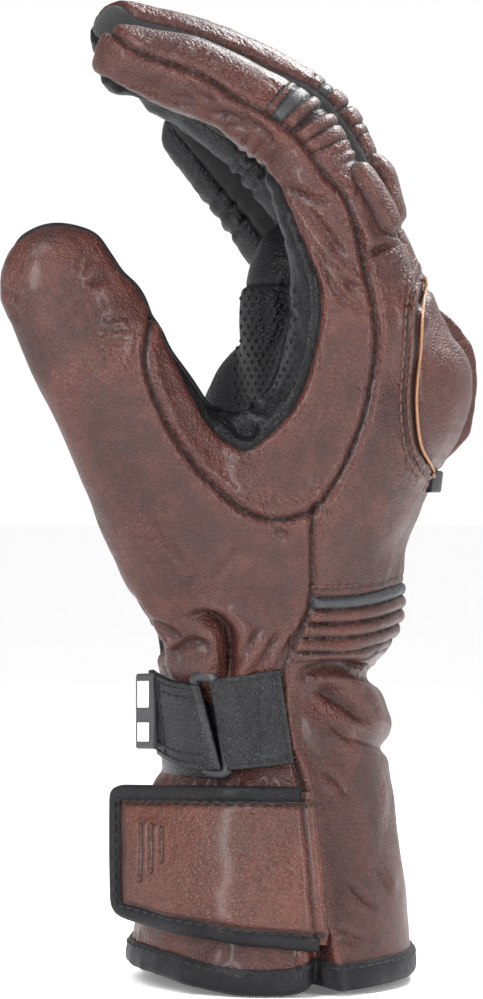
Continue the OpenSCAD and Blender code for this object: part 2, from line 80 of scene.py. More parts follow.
def step(x, low, high):
    """0 below low, 1 above high, smooth between them."""
    t = np.clip((x - low) / (high - low), 0, 1)
    return t * t * (3 - 2 * t)


def bell(x, width):
    return np.exp(-(x / width) ** 2)


def unit(v):
    v = np.asarray(v, float)
    return v / np.linalg.norm(v, axis=-1, keepdims=True)


def smooth_path(points, n):
    """n rows along a smooth curve through the points, on all columns."""
    p = np.asarray(points, float)
    q = np.vstack([2 * p[0] - p[1], p, 2 * p[-1] - p[-2]])
    t = np.linspace(0, len(p) - 1 - 1e-9, n)
    i = t.astype(int)
    s = (t - i)[:, None]
    a, b, c, d = q[i], q[i + 1], q[i + 2], q[i + 3]
    return 0.5 * (2 * b + (c - a) * s + (2 * a - 5 * b + 4 * c - d) * s ** 2 + (3 * b - a - 3 * c + d) * s ** 3)


def even(points, pitch):
    """Points at an even pitch along a polyline."""
    p = np.asarray(points, float)
    run = np.concatenate([[0], np.cumsum(np.linalg.norm(np.diff(p, axis=0), axis=1))])
    n = max(2, int(round(run[-1] / pitch)) + 1)
    t = np.linspace(0, run[-1], n)
    return np.stack([np.interp(t, run, p[:, k]) for k in range(p.shape[1])], 1)


rng = np.random.default_rng(7)
PERM = rng.permutation(256)
GRADS = unit(rng.normal(size=(256, 3)))


def noise(p, size):
    """Gradient noise of feature size `size`, about -1 to 1."""
    q = p / size
    i = np.floor(q).astype(int)
    f = q - i
    u = f * f * f * (f * (f * 6 - 15) + 10)
    out = np.zeros(len(p))
    for dx in (0, 1):
        for dy in (0, 1):
            for dz in (0, 1):
                h = PERM[(PERM[(PERM[(i[:, 0] + dx) & 255] + i[:, 1] + dy) & 255] + i[:, 2] + dz) & 255]
                g = np.sum(GRADS[h] * (f - (dx, dy, dz)), 1)
                w = ((u[:, 0] if dx else 1 - u[:, 0]) * (u[:, 1] if dy else 1 - u[:, 1])
                     * (u[:, 2] if dz else 1 - u[:, 2]))
                out += g * w
    return out * 1.6


def bead(u):
    """Height of a half-round rib over its width, which runs from 0 to 1."""
    return np.sqrt(np.clip(1 - (2 * u - 1) ** 2, 0, 1))


def ridges(p, size):
    """Narrow creases between soft lobes, 0 to 1."""
    return np.clip(1 - np.abs(noise(p, size)) * 2.6, 0, 1) ** 2


# The glove as it is drawn from the thumb side, 1.1 m away: places on the side facing -Y.
EYE = np.array([-7.3, -1100.0, 137.4])


def seen(p):
    """Where points fall on the plane Y = 0 as they are seen from EYE: (x, z)."""
    k = -EYE[1] / (p[:, 1] - EYE[1])
    return np.stack([EYE[0] + (p[:, 0] - EYE[0]) * k, EYE[2] + (p[:, 2] - EYE[2]) * k], 1)


def to_line(q, line):
    """Distance of 2-D points to a polyline (+ on its left), and the run along it."""
    line = np.asarray(line, float)
    best = np.full(len(q), 1e9); side = np.ones(len(q)); run = np.zeros(len(q))
    start = 0.0
    for a, b in zip(line, line[1:]):
        e = b - a
        L = np.hypot(*e)
        d = q - a
        t = np.clip(d @ e / L ** 2, 0, 1)
        r = d - t[:, None] * e
        dist = np.hypot(r[:, 0], r[:, 1])
        m = dist < best
        best[m] = dist[m]
        side[m] = np.sign(e[0] * d[:, 1] - e[1] * d[:, 0])[m]
        run[m] = (start + t * L)[m]
        start += L
    return best * np.where(side == 0, 1, side), run


def inside(q, ring):
    """Signed distance to a closed outline, + inside."""
    ring = np.asarray(ring, float)
    d, _ = to_line(q, np.vstack([ring, ring[:1]]))
    x, y = q[:, 0], q[:, 1]
    odd = np.zeros(len(q), bool)
    for (x0, y0), (x1, y1) in zip(ring, np.roll(ring, -1, 0)):
        cross = (y0 > y) != (y1 > y)
        odd ^= cross & (x < x0 + (y - y0) * (x1 - x0) / (y1 - y0 if y1 != y0 else 1e-9))
    return np.where(odd, 1, -1) * np.abs(d)

# ---- Shape ------------------------------------------------------------------------------

# Place along Z, centre X, half depth, half width, arch of the palm, squareness
TORSO = [
    (-14, 0.9, 39.2, 46.5, 0, 2.1),
    (8, 0.9, 38.9, 46.0, 0, 2.1),
    (27, 0.9, 37.2, 44.5, 0, 2.1),
    (42, -0.1, 36.1, 42.0, 0, 2.1),
    (55, 0.6, 34.0, 40.0, 0, 2.1),
    (63, 2.0, 31.4, 38.2, 0, 2.1),
    (72, 1.8, 30.6, 37.4, 0, 2.1),
    (82, 1.0, 30.8, 37.4, 0, 2.1),
    (91, -1.0, 29.4, 37.2, 0, 2.1),
    (97, 1.6, 31.6, 37.8, 0, 2.1),
    (108, 3.2, 33.6, 39.5, 0.0003, 2.15),
    (122, 5.0, 32.6, 43.0, 0.001, 2.3),
    (134, 9.6, 31.8, 45.5, 0.002, 2.4),
    (146, 16.0, 30.0, 47.0, 0.003, 2.4),
    (160, 21.8, 26.6, 48.0, 0.004, 2.4),
    (176, 25.6, 22.8, 48.5, 0.0052, 2.4),
    (192, 25.6, 17.8, 48.3, 0.006, 2.3),
    (206, 24.6, 14.4, 47.5, 0.006, 2.2),
    (216, 23.4, 13.0, 46.5, 0.006, 2.2),
]
ARCH_Y = -8.0
# Fingers: root y, toe-in, and centre line points (x, z, half depth, half width) from inside the hand to the tip
FINGER = {
    "index": (-37, -4, [
        (25.5, 186, 15.5, 11.6), (20.5, 203, 15.0, 11.8), (13.9, 219.7, 12.7, 11.4), (6.4, 233.2, 11.8, 11.2),
        (-7.0, 243.0, 10.9, 11.0), (-22.2, 250.5, 10.3, 10.6), (-37, 254.4, 9.5, 10.0)]),
    "middle": (-12.5, -1, [
        (28, 188, 13.6, 11.8), (23.8, 207, 13.0, 11.8), (19.2, 226, 12.0, 11.4), (11.6, 239.6, 11.3, 11.2),
        (-3.0, 250.2, 10.7, 11.0), (-20, 258.4, 10.0, 10.6), (-38.6, 263.4, 9.6, 10.0)]),
    "ring": (12, 1.5, [
        (28.5, 184, 14.0, 11.6), (23.0, 203, 13.6, 11.6), (14.6, 219.5, 12.8, 11.2), (3.4, 231.5, 12.2, 11.0),
        (-8, 241.8, 11.2, 10.8), (-18, 248.8, 10.4, 10.4), (-27, 253, 9.6, 9.8)]),
    "little": (35.5, 4, [
        (22, 174, 13.2, 10.8), (15.5, 192, 12.8, 10.6), (7.5, 207, 11.8, 10.2), (-2.5, 219.5, 11.2, 10.0),
        (-10.5, 229, 10.4, 9.6), (-17, 236.3, 9.6, 9.2), (-21.5, 240.8, 8.6, 8.6)]),
}
# Thumb: centre line points (x, y, z, half thickness, half width)
THUMB = [(-5, -24, 98, 13.0, 19.6), (-12.6, -30.5, 114, 14.0, 22.6), (-23.8, -38.5, 134, 14.0, 21.2),
         (-32.0, -45.5, 150, 13.4, 19.2), (-39.2, -50.0, 164.5, 12.8, 18.2), (-47.0, -52.5, 178.4, 12.2, 17.3),
         (-55.0, -54, 193.6, 11.2, 15.4)]


def rim_z(y):
    """Height where the hand ends and the fingers go on."""
    return 205.9 - 0.1667 * y - 0.0061 * y * y


class Tube:
    """A swept oval with a rounded end."""
    def __init__(self, centres, half, side=None, back=None):
        self.c, self.half = centres, half
        self.along = unit(np.gradient(centres, axis=0))
        if side is not None:
            self.side = np.tile(side, (len(centres), 1))
            self.back = unit(np.cross(self.side, self.along))
        else:
            self.back = unit(back - np.sum(back * self.along, 1)[:, None] * self.along)
            self.side = unit(np.cross(self.along, self.back))
        self.run = np.concatenate([[0], np.cumsum(np.linalg.norm(np.diff(centres, axis=0), axis=1))])
        self.low = centres.min(0) - half.max() - 12
        self.high = centres.max(0) + half.max() + 12

    def near(self, p):
        """Distance, run along the tube, and angle from its back in degrees (+ towards its side)."""
        n = len(p)
        best = np.full(n, 1e9); run = np.zeros(n); angle = np.zeros(n)
        for j in range(len(self.c) - 1):
            e = self.c[j + 1] - self.c[j]
            L = np.linalg.norm(e)
            d = p - self.c[j]
            t = (d @ e) / L ** 2
            last = j == len(self.c) - 2
            tc = np.clip(t, 0 if j else -0.5, 1)
            q = d - tc[:, None] * e
            k = np.clip(tc, 0, 1)[:, None]
            half = self.half[j] + (self.half[j + 1] - self.half[j]) * k
            x = np.sum(q * (self.back[j] + (self.back[j + 1] - self.back[j]) * k), 1)
            y = np.sum(q * (self.side[j] + (self.side[j + 1] - self.side[j]) * k), 1)
            z = q @ (e / L)
            rx, ry = half[:, 0], half[:, 1]
            rz = ry if last else np.minimum(rx, ry)
            k0 = np.sqrt((x / rx) ** 2 + (y / ry) ** 2 + (z / rz) ** 2)
            k1 = np.sqrt((x / rx ** 2) ** 2 + (y / ry ** 2) ** 2 + (z / rz ** 2) ** 2) + 1e-9
            dist = k0 * (k0 - 1) / k1
            m = dist < best
            best[m] = dist[m]
            run[m] = (self.run[j] + t.clip(0 if j else -9, 9 if last else 1) * L)[m]
            angle[m] = np.arctan2(y / ry, x / rx)[m]
        return best, run, np.degrees(angle)


def finger_tube(name):
    y0, toe, points = FINGER[name]
    t = np.radians(toe)
    p = smooth_path(points, 19)
    root_x = points[1][0]
    c = np.stack([root_x + (p[:, 0] - root_x) * np.cos(t), y0 + (p[:, 0] - root_x) * np.sin(t), p[:, 1]], 1)
    return Tube(c, p[:, 2:4], side=np.array([-np.sin(t), np.cos(t), 0.0]))


FINGERS = list(FINGER)
TUBES = {name: finger_tube(name) for name in FINGER}
path = smooth_path(THUMB, 19)
TUBES["thumb"] = Tube(path[:, :3], path[:, 3:5], back=np.array([0.0, -1.0, 0.0]))


def smin(a, b, k):
    """The smaller of two distances, blended where they are within k of each other."""
    h = np.clip(0.5 + 0.5 * (b - a) / k, 0, 1)
    return b + (a - b) * h - k * h * (1 - h)


def torso(p):
    """Distance to the hand and cuff, cut off above the knuckles."""
    cx, a, b, arch, n = curve_at(TORSO, p[:, 2])
    x = p[:, 0] - cx + arch * (p[:, 1] - ARCH_Y) ** 2
    y = p[:, 1]
    g = ((np.abs(x) / a) ** n + (np.abs(y) / b) ** n) ** (1 / n) + 1e-9
    grad = g ** (1 - n) * np.sqrt((np.abs(x) ** (n - 1) / a ** n) ** 2 + (np.abs(y) ** (n - 1) / b ** n) ** 2) + 1e-4
    top = p[:, 2] - (rim_z(y) + 1.0)
    return -smin(-(g - 1) / grad, -top, 9.0)


def around(p):
    """Angle round the hand and cuff: 0 at the back, + towards the little finger, degrees."""
    cx, a, b, arch, _ = curve_at(TORSO, p[:, 2])
    return np.degrees(np.arctan2(p[:, 1] / b, (p[:, 0] - cx + arch * (p[:, 1] - ARCH_Y) ** 2) / a))


def blob(p, centre, radii):
    """Rough distance to an ellipsoid."""
    q = p - np.array(centre, float)
    r = np.array(radii, float)
    k = np.linalg.norm(q / r, axis=1)
    return k * (k - 1) / (np.linalg.norm(q / r ** 2, axis=1) + 1e-9)


def body_field(p):
    d = torso(p)
    d = smin(d, blob(p, (-3, 21, 141), (17.5, 20, 40)), 10)            # heel of the palm, little finger side
    d = smin(d, blob(p, (4, 2, 187), (11, 17, 26)), 9)                 # pads of the palm below the fingers
    t = TUBES["thumb"]
    near = np.all((p > t.low) & (p < t.high), 1)
    if near.any():
        dt, _, _ = t.near(p[near])
        dt = smin(dt, blob(p[near], (-8, -37, 136), (24, 12.5, 25)), 7)  # web between thumb and hand
        d[near] = smin(d[near], dt, 11)
    return d


def field(p):
    """Distance to the glove's smooth skin, - inside."""
    d = body_field(p)
    out = d.copy()
    for name in FINGERS:
        t = TUBES[name]
        near = np.all((p > t.low) & (p < t.high), 1)
        if near.any():
            df, _, _ = t.near(p[near])
            out[near] = np.minimum(out[near], smin(d[near], df, 7.0))
    return out


def surface(low, high, h):
    """The zero surface of the field as quads on a grid of step h."""
    low = np.asarray(low, float); high = np.asarray(high, float)
    m = 4
    shape = (np.ceil((high - low) / (h * m)).astype(int)) * m
    mids = [low[i] + (np.arange(shape[i] // m) + 0.5) * h * m for i in range(3)]
    g = np.stack(np.meshgrid(*mids, indexing="ij"), -1).reshape(-1, 3)
    live = np.abs(field(g).reshape([s // m for s in shape])) < h * m * 1.05
    live = np.repeat(np.repeat(np.repeat(live, m, 0), m, 1), m, 2)
    corners = np.array([(dx, dy, dz) for dx in (0, 1) for dy in (0, 1) for dz in (0, 1)])
    at = np.zeros(shape + 1, bool)
    for dx, dy, dz in corners:
        at[dx:dx + shape[0], dy:dy + shape[1], dz:dz + shape[2]] |= live
    v = np.ones(shape + 1, np.float32) * 9
    v[at] = field(low + np.stack(np.nonzero(at), 1) * h)
    full = v < 0
    total = sum(full[dx:dx + shape[0], dy:dy + shape[1], dz:dz + shape[2]].astype(np.int8) for dx, dy, dz in corners)
    cell = live & (total > 0) & (total < 8)
    ids = -np.ones(shape, np.int64)
    ci = np.stack(np.nonzero(cell), 1)
    ids[cell] = np.arange(len(ci))
    pos = np.zeros((len(ci), 3)); count = np.zeros(len(ci))
    for a in range(8):
        for b in range(a + 1, 8):
            if np.abs(corners[a] - corners[b]).sum() != 1:
                continue
            va, vb = v[tuple((ci + corners[a]).T)], v[tuple((ci + corners[b]).T)]
            cross = (va < 0) != (vb < 0)
            t = np.where(cross, va / np.where(va == vb, 1, va - vb), 0)
            pos += np.where(cross[:, None], corners[a] + t[:, None] * (corners[b] - corners[a]), 0)
            count += cross
    verts = low + (ci + pos / count[:, None]) * h
    quads = []
    for axis in range(3):
        o = [i for i in range(3) if i != axis]
        s0 = [slice(0, shape[i] + 1) for i in range(3)]; s1 = list(s0)
        s0[axis] = slice(0, shape[axis]); s1[axis] = slice(1, shape[axis] + 1)
        a, b = full[tuple(s0)], full[tuple(s1)]
        e = np.stack(np.nonzero(a != b), 1)
        e = e[(e[:, o[0]] > 0) & (e[:, o[1]] > 0) & (e[:, o[0]] < shape[o[0]]) & (e[:, o[1]] < shape[o[1]])]
        quad = []
        for d0, d1 in ((1, 1), (0, 1), (0, 0), (1, 0)):
            q = e.copy(); q[:, o[0]] -= d0; q[:, o[1]] -= d1
            quad.append(ids[tuple(q.T)])
        quad = np.stack(quad, 1)
        flip = a[tuple(e.T)] ^ (axis == 1)
        quad = np.where(flip[:, None], quad, quad[:, ::-1])
        quads.append(quad[(quad >= 0).all(1)])
    return verts, np.vstack(quads)


def edges_of(faces):
    """The two corners of each side of every face, lower one first: all first sides, then all second ones."""
    n = faces.shape[1]
    return np.sort(np.vstack([faces[:, [k, (k + 1) % n]] for k in range(n)]), 1)


def slope_of(f, p, e=0.05):
    """Gradient of a field, by central differences."""
    g = np.zeros_like(p)
    for i in range(3):
        d = np.zeros(3); d[i] = e
        g[:, i] = (f(p + d) - f(p - d)) / (2 * e)
    return g


def neighbours_mean(edges, count, values):
    s = np.zeros_like(values)
    for k in (0, 1):
        for c in range(values.shape[1]):
            s[:, c] += np.bincount(edges[:, k], values[edges[:, 1 - k], c], len(values))
    return s / count[:, None]


verts, quads = surface((-80, -80, -6), (76, 62, 290), GRID)
edges = np.unique(edges_of(quads), axis=0)
count = np.bincount(edges.ravel(), minlength=len(verts)).astype(float)
for _ in range(3):
    verts = verts + 0.7 * (neighbours_mean(edges, count, verts) - verts)
    g = slope_of(field, verts)
    verts = verts - g * (field(verts) / (np.sum(g * g, 1) + 1e-9))[:, None]
# each quad becomes two triangles along its shorter diagonal
spans = [np.linalg.norm(verts[quads[:, a]] - verts[quads[:, b]], axis=1) for a, b in ((0, 2), (1, 3))]
diagonal = (spans[0] < spans[1])[:, None]
tris = np.vstack([np.where(diagonal, quads[:, [0, 1, 2]], quads[:, [0, 1, 3]]),
                  np.where(diagonal, quads[:, [0, 2, 3]], quads[:, [1, 2, 3]])])

# ---- Lines drawn on the skin, as seen from the thumb side -------------------------------

# Seam between the index finger's back and its side panel, then round the root of the thumb
WEB_SEAM = [
    (-41.6, 264.8), (-36.9, 261.3), (-30.5, 258.5), (-23.2, 256), (-18.4, 254.1), (-13.6, 251.2), (-10.3, 248.6),
    (-4.8, 245.6), (0, 243.1), (4.4, 240.1), (10.5, 234), (15.6, 226.9), (20.6, 221.7), (23.7, 214.5),
    (26.1, 203.5), (27.6, 197), (29.4, 188.6), (29.8, 179.5), (28.4, 168.1), (26.4, 159.9), (24.1, 153.5),
    (21, 146.2), (16.9, 139.3), (13.7, 135.3), (9.6, 133.2), (4.1, 131.8), (-0.9, 132.1), (-4.6, 133.4),
    (-10, 136.8), (-15.5, 142.1), (-19.7, 146.6), (-26.6, 156.3), (-29.5, 162.2), (-32, 168.6), (-33.4, 174.9),
    (-33.2, 179.9), (-32.3, 187.5), (-31, 192.5)]
web_line = smooth_path(WEB_SEAM, 150)
web_ring = np.vstack([web_line, [(-40, 200), (-70, 250), (-60, 275), (-46, 268.5)]])
# Edge of the brown leather against the black palm, down the index finger and into the crook of the thumb
PALM_EDGE = [
    (-50, 255.5), (-46.2, 253.2), (-41.6, 250.4), (-34.2, 246.8), (-27, 243.4), (-21.5, 241.2), (-17.7, 240.1),
    (-14, 237.9), (-10.3, 235), (-7.7, 232.2), (-3, 228.6), (1.4, 224.9), (4.7, 218.6), (6.8, 212.6),
    (10.5, 204.8), (13, 198.9), (14.0, 193), (13.8, 186.3), (12.3, 178.1), (10, 170.4), (6.8, 163.1),
    (3.2, 158.3), (-0.9, 154.6), (-4.1, 151.9), (-7.3, 151.0), (-12.3, 154.4)]
palm_line = smooth_path(PALM_EDGE, 110)
palm_ring = np.vstack([palm_line, [(-17, 160), (-30, 186), (-42, 212), (-70, 240)]])
# Seam between the back of the hand and cuff and the palm side, down the thumb side
SIDE_SEAM = [
    (13.9, 137), (12.6, 133.9), (12.2, 122), (12.1, 109.7), (9.8, 103), (6.4, 96), (4.2, 90.5), (3.6, 84),
    (4.2, 76), (5.6, 68), (8.0, 63), (10, 55), (11.8, 42), (13.4, 30), (14.8, 18), (17, 8), (19, -6)]
side_line = smooth_path(SIDE_SEAM, 70)
# Front edge of the knuckle armour
ARMOUR_EDGE = [
    (47, 201), (44.6, 197.5), (42.9, 194), (42.2, 190), (41.9, 185), (41.4, 178), (40.9, 171), (40.6, 164),
    (41.1, 156.5), (42.4, 150.2), (44.7, 145.7), (48.3, 141.7), (52, 139.5)]
armour_line = smooth_path(ARMOUR_EDGE, 60)


def hem_z(p):
    """Height of the cuff's lower edge: cut higher on the palm side, with a notch at the gusset."""
    v = around(p)
    return 7.6 + 1.6 * step(p[:, 0], 5, 38) + 4.2 * step(-p[:, 0], 5, 38) + 2.2 * bell(v + 73, 7) * (p[:, 1] < 0)


# Seams on the little finger side, in degrees round the hand, and the height where the side panel starts
BACK_SEAM, PALM_SEAM, SIDE_PANEL_FROM = 74, 112, 108
# The gripping patch lies beyond this angle, above this height
GRIP_ANGLE, GRIP_FROM = 95, 130
# On the palm side the cuff's panels end at this height
CUFF_PALM_TOP = 80
# Edges of the six stretch ribs on each finger, from the first rib towards the hand
RIB_EDGES = {"index": [0, 2.3, 5.2, 8.8, 9.4, 13.2, 16.2], "middle": [0, 2.3, 5.2, 8.8, 9.4, 13.2, 16.2],
             "ring": [0, 2.2, 5.0, 8.2, 8.9, 12.2, 14.4], "little": [0, 2.0, 4.4, 7.2, 7.9, 10.8, 12.8]}
# Where the first rib starts (x, z), and the heights of both ends of each knuckle bar
RIB_TOP = {"index": (3.4, 245.2), "middle": (11.5, 251), "ring": (-1.5, 241.5), "little": (-6, 230.5)}
PAD_ENDS = {"index": (227.6, 207.5), "middle": (231.2, 211.7), "ring": (223, 204), "little": (211.5, 194)}
# Edges of the six ribs at the wrist
WRIST_EDGES = [94.4, 96.9, 100.6, 104.4, 108.2, 111.4, 113.6]
ACCENT = 4                                        # the wrist rib in the accent colour
HAND, THUMB_OWNER = 0, 5                          # owner of a point on the skin; 1-4 are the fingers
rib_run, pad_run, tube_end = {}, {}, {}
for name in FINGERS:
    t = TUBES[name]
    x, z = RIB_TOP[name]
    y = np.interp(x, t.c[::-1, 0], t.c[::-1, 1])
    rib_run[name] = t.near(np.array([[x, y, z]]))[1][0]
    # pads: the run where the back of the finger is level with each end
    backs = t.c + t.back * t.half[:, :1]
    pad_run[name] = [np.interp(z, backs[:, 2], t.run) for z in PAD_ENDS[name]]
    tube_end[name] = t.run[-1] + t.half[-1, 1]
tube_end["thumb"] = TUBES["thumb"].run[-1] + TUBES["thumb"].half[-1, 1]


def by_finger(owner, values, other=0):
    """One value for each finger, picked by owner; `other` stands for the hand and the thumb."""
    return np.array([other, *values, other])[owner]


def measure(p):
    """Everything that seams and details are laid out by, for points on the skin."""
    m = {"p": p, "q": seen(p), "v": around(p)}
    best = np.minimum(torso(p) + 0.6, 2.5)
    owner = np.zeros(len(p), int)
    run = np.zeros(len(p)); angle = np.zeros(len(p))
    for k, name in enumerate(FINGERS + ["thumb"], 1):
        t = TUBES[name]
        near = np.all((p > t.low) & (p < t.high), 1)
        d = np.full(len(p), 1e3); r = np.zeros(len(p)); a = np.zeros(len(p))
        if near.any():
            d[near], r[near], a[near] = t.near(p[near])
        won = d < best
        best[won] = d[won]; owner[won] = k; run[won] = r[won]; angle[won] = a[won]
    m.update(owner=owner, run=run)
    n = unit(slope_of(field, p, 0.3))
    m["n"] = n
    q = m["q"]
    owner_finger = (owner >= 1) & (owner <= 4)
    m["facing"] = (n[:, 1] < 0.3) & (p[:, 1] < -4)
    m["near_side"] = m["facing"] & ((owner == 0) | (owner == 1) | (owner == 5))
    m["web"] = inside(q, web_ring)
    m["palm"] = inside(q, palm_ring)
    m["side"], _ = to_line(q, side_line)
    m["armour_line"], _ = to_line(q, armour_line)
    m["hem"] = p[:, 2] - hem_z(p)
    # silhouette edge between thumb back and thumb palm: lower on the outer side
    outer = step(-(q[:, 0] + 58 + (200 - q[:, 1]) * -0.42), 2, 10) * step(203 - q[:, 1], 0, 14)
    m["turn"] = n[:, 1] - 0.02 - 0.62 * outer
    # finger angles
    a = np.where(owner_finger, angle, 0)
    end = np.array([0] + [tube_end[k] for k in FINGERS + ["thumb"]])[owner]
    m["to_end"] = end - run
    tip = step(m["to_end"], 2, 13)
    m["a"] = a
    outer_side = (owner == 4) & (a > 0)
    ribs = by_finger(owner, rib_run.values())
    m["rib"] = ribs - run                          # run from the first rib towards the hand
    reach = np.where((a < 0) & (owner > 1), 48 - 14 * step(m["rib"], -12, 4) - 9 * step(m["rib"], 8, 26), 48)
    m["seam_hi"] = np.abs(a) - np.where(outer_side, 84, 14 + reach * tip)
    m["seam_lo"] = np.abs(a) - np.where(outer_side, 130, 118)
    pads0, pads1 = (by_finger(owner, [pad_run[k][end] for k in FINGERS]) for end in (0, 1))
    mid, half = (pads0 + pads1) / 2, np.abs(pads0 - pads1) / 2 + 1e-6
    u = np.abs(run - mid); w = np.abs(a - np.where(owner == 1, 2, 0)) * 0.205
    kx, ky = np.maximum(u - (half - 4.5), 0), np.maximum(w - 4.4, 0)
    m["pad"] = np.where(owner_finger, 4.5 - np.hypot(kx, ky), -9)
    # wrist ribs climb towards the back of the hand
    m["wrist"] = p[:, 2] - 0.0075 * np.clip(p[:, 0] - 16, 0, None) ** 2
    # knuckle armour on the back of the hand
    v, z = m["v"], p[:, 2]
    far = (50 - v) * 0.72
    ends = np.minimum(199.5 - 0.004 * (v - 5) ** 2 - z, z - (143.5 + 0.0035 * (v - 5) ** 2))
    near_edge = np.where(p[:, 1] < 2, m["armour_line"], 30)
    m["armour"] = smin(smin(far, ends, 6), near_edge, 3)
    # textured patch on the palm
    av = np.where(v < 0, v + 360, v)
    gx, gy = np.maximum(np.abs(av - 170) * 0.72 - 24, 0), np.maximum(np.abs(z - 172) - 16, 0)
    m["grip"] = 8 - np.hypot(gx, gy)
    return m


def cut(f_of, where):
    """Cuts the skin's triangles along the zero line of a field, among the vertices that `where` names."""
    global tris, M
    f = f_of(M).copy()
    f[np.abs(f) < 0.1 * GRID] = 0
    ok = where(M)
    e = edges_of(tris)
    key = e[:, 0] * len(M["p"]) + e[:, 1]
    crossing = (f[e[:, 0]] * f[e[:, 1]] < 0) & ok[e[:, 0]] & ok[e[:, 1]]
    if not crossing.any():
        return
    _, first, back = np.unique(key[crossing], return_index=True, return_inverse=True)
    ea, eb = e[crossing][first, 0], e[crossing][first, 1]
    t = (f[ea] / (f[ea] - f[eb]))[:, None]
    fresh = M["p"][ea] * (1 - t) + M["p"][eb] * t
    ids = -np.ones(len(e), np.int64)
    ids[crossing] = len(M["p"]) + back.ravel()
    n = len(tris)
    mid = np.stack([ids[:n], ids[n:2 * n], ids[2 * n:]], 1)      # on edges 01, 12, 20
    split = mid >= 0
    number = split.sum(1)
    out = [tris[number == 0]]
    for k in range(3):
        one = (number == 1) & split[:, k]
        a, b, c = tris[one, k], tris[one, (k + 1) % 3], tris[one, (k + 2) % 3]
        x = mid[one, k]
        out += [np.stack([a, x, c], 1), np.stack([x, b, c], 1)]
        two = (number == 2) & ~split[:, k]                        # edges k+1 and k+2 are split; corner k+2 is cut off
        a, b, c = tris[two, k], tris[two, (k + 1) % 3], tris[two, (k + 2) % 3]
        x, y = mid[two, (k + 1) % 3], mid[two, (k + 2) % 3]
        out += [np.stack([c, y, x], 1), np.stack([a, b, x], 1), np.stack([a, x, y], 1)]
    tris = np.vstack(out)
    new = measure(fresh)
    M = {k: np.concatenate([M[k], new[k]]) for k in M}


M = measure(verts)
finger = lambda m: (m["owner"] >= 1) & (m["owner"] <= 4)
beside_fabric = lambda m: finger(m) & ((m["owner"] != 1) | (m["a"] > 0))
cut(lambda m: m["hem"], lambda m: m["p"][:, 2] < 30)
keep = M["hem"][tris].mean(1) > 0
tris = tris[keep]
cut(lambda m: m["palm"], lambda m: m["near_side"] & (m["q"][:, 1] > 148))
cut(lambda m: m["web"], lambda m: m["near_side"] & (m["q"][:, 1] > 128))
cut(lambda m: m["turn"],
    lambda m: ((m["owner"] == THUMB_OWNER) | (m["owner"] == HAND)) & (m["q"][:, 0] < 3) & (m["q"][:, 1] > 76)
    & (m["palm"] < 3) & (m["p"][:, 1] < -8) & (m["q"][:, 1] < 219))
cut(lambda m: m["side"], lambda m: m["facing"] & (m["q"][:, 1] < 136.5))
for low, angle in ((10, BACK_SEAM), (SIDE_PANEL_FROM, PALM_SEAM)):
    cut(lambda m: m["v"] - angle,
        lambda m: (m["owner"] == HAND) & (m["p"][:, 1] > 0) & (m["p"][:, 2] > low) & (m["p"][:, 2] < 215))
for key in ("seam_hi", "seam_lo"):
    cut(lambda m: m[key], beside_fabric)
cut(lambda m: m["armour"], lambda m: m["owner"] < 4)
for k in range(7):
    cut(lambda m: m["rib"] - by_finger(m["owner"], [RIB_EDGES[n][k] for n in FINGERS]),
        lambda m: finger(m) & ((m["seam_hi"] < 1.5) | ((m["owner"] == 1) & (m["a"] < 0)))
        & ((m["owner"] != 1) | (m["web"] < 1.5) | (m["a"] > 0)))
for z in WRIST_EDGES:
    cut(lambda m: m["wrist"] - z,
        lambda m: (m["owner"] == HAND) & (np.abs(m["v"]) < 80) & ((m["side"] > -1.5) | (m["p"][:, 1] > 0)))
cut(lambda m: m["pad"], finger)
cut(lambda m: m["grip"],
    lambda m: (m["owner"] == HAND) & (np.abs(m["v"]) > GRIP_ANGLE) & (m["p"][:, 2] > GRIP_FROM))

# ---- Relief: seams, ribs, pads, armour, folds and creases, all pressed into the skin ----

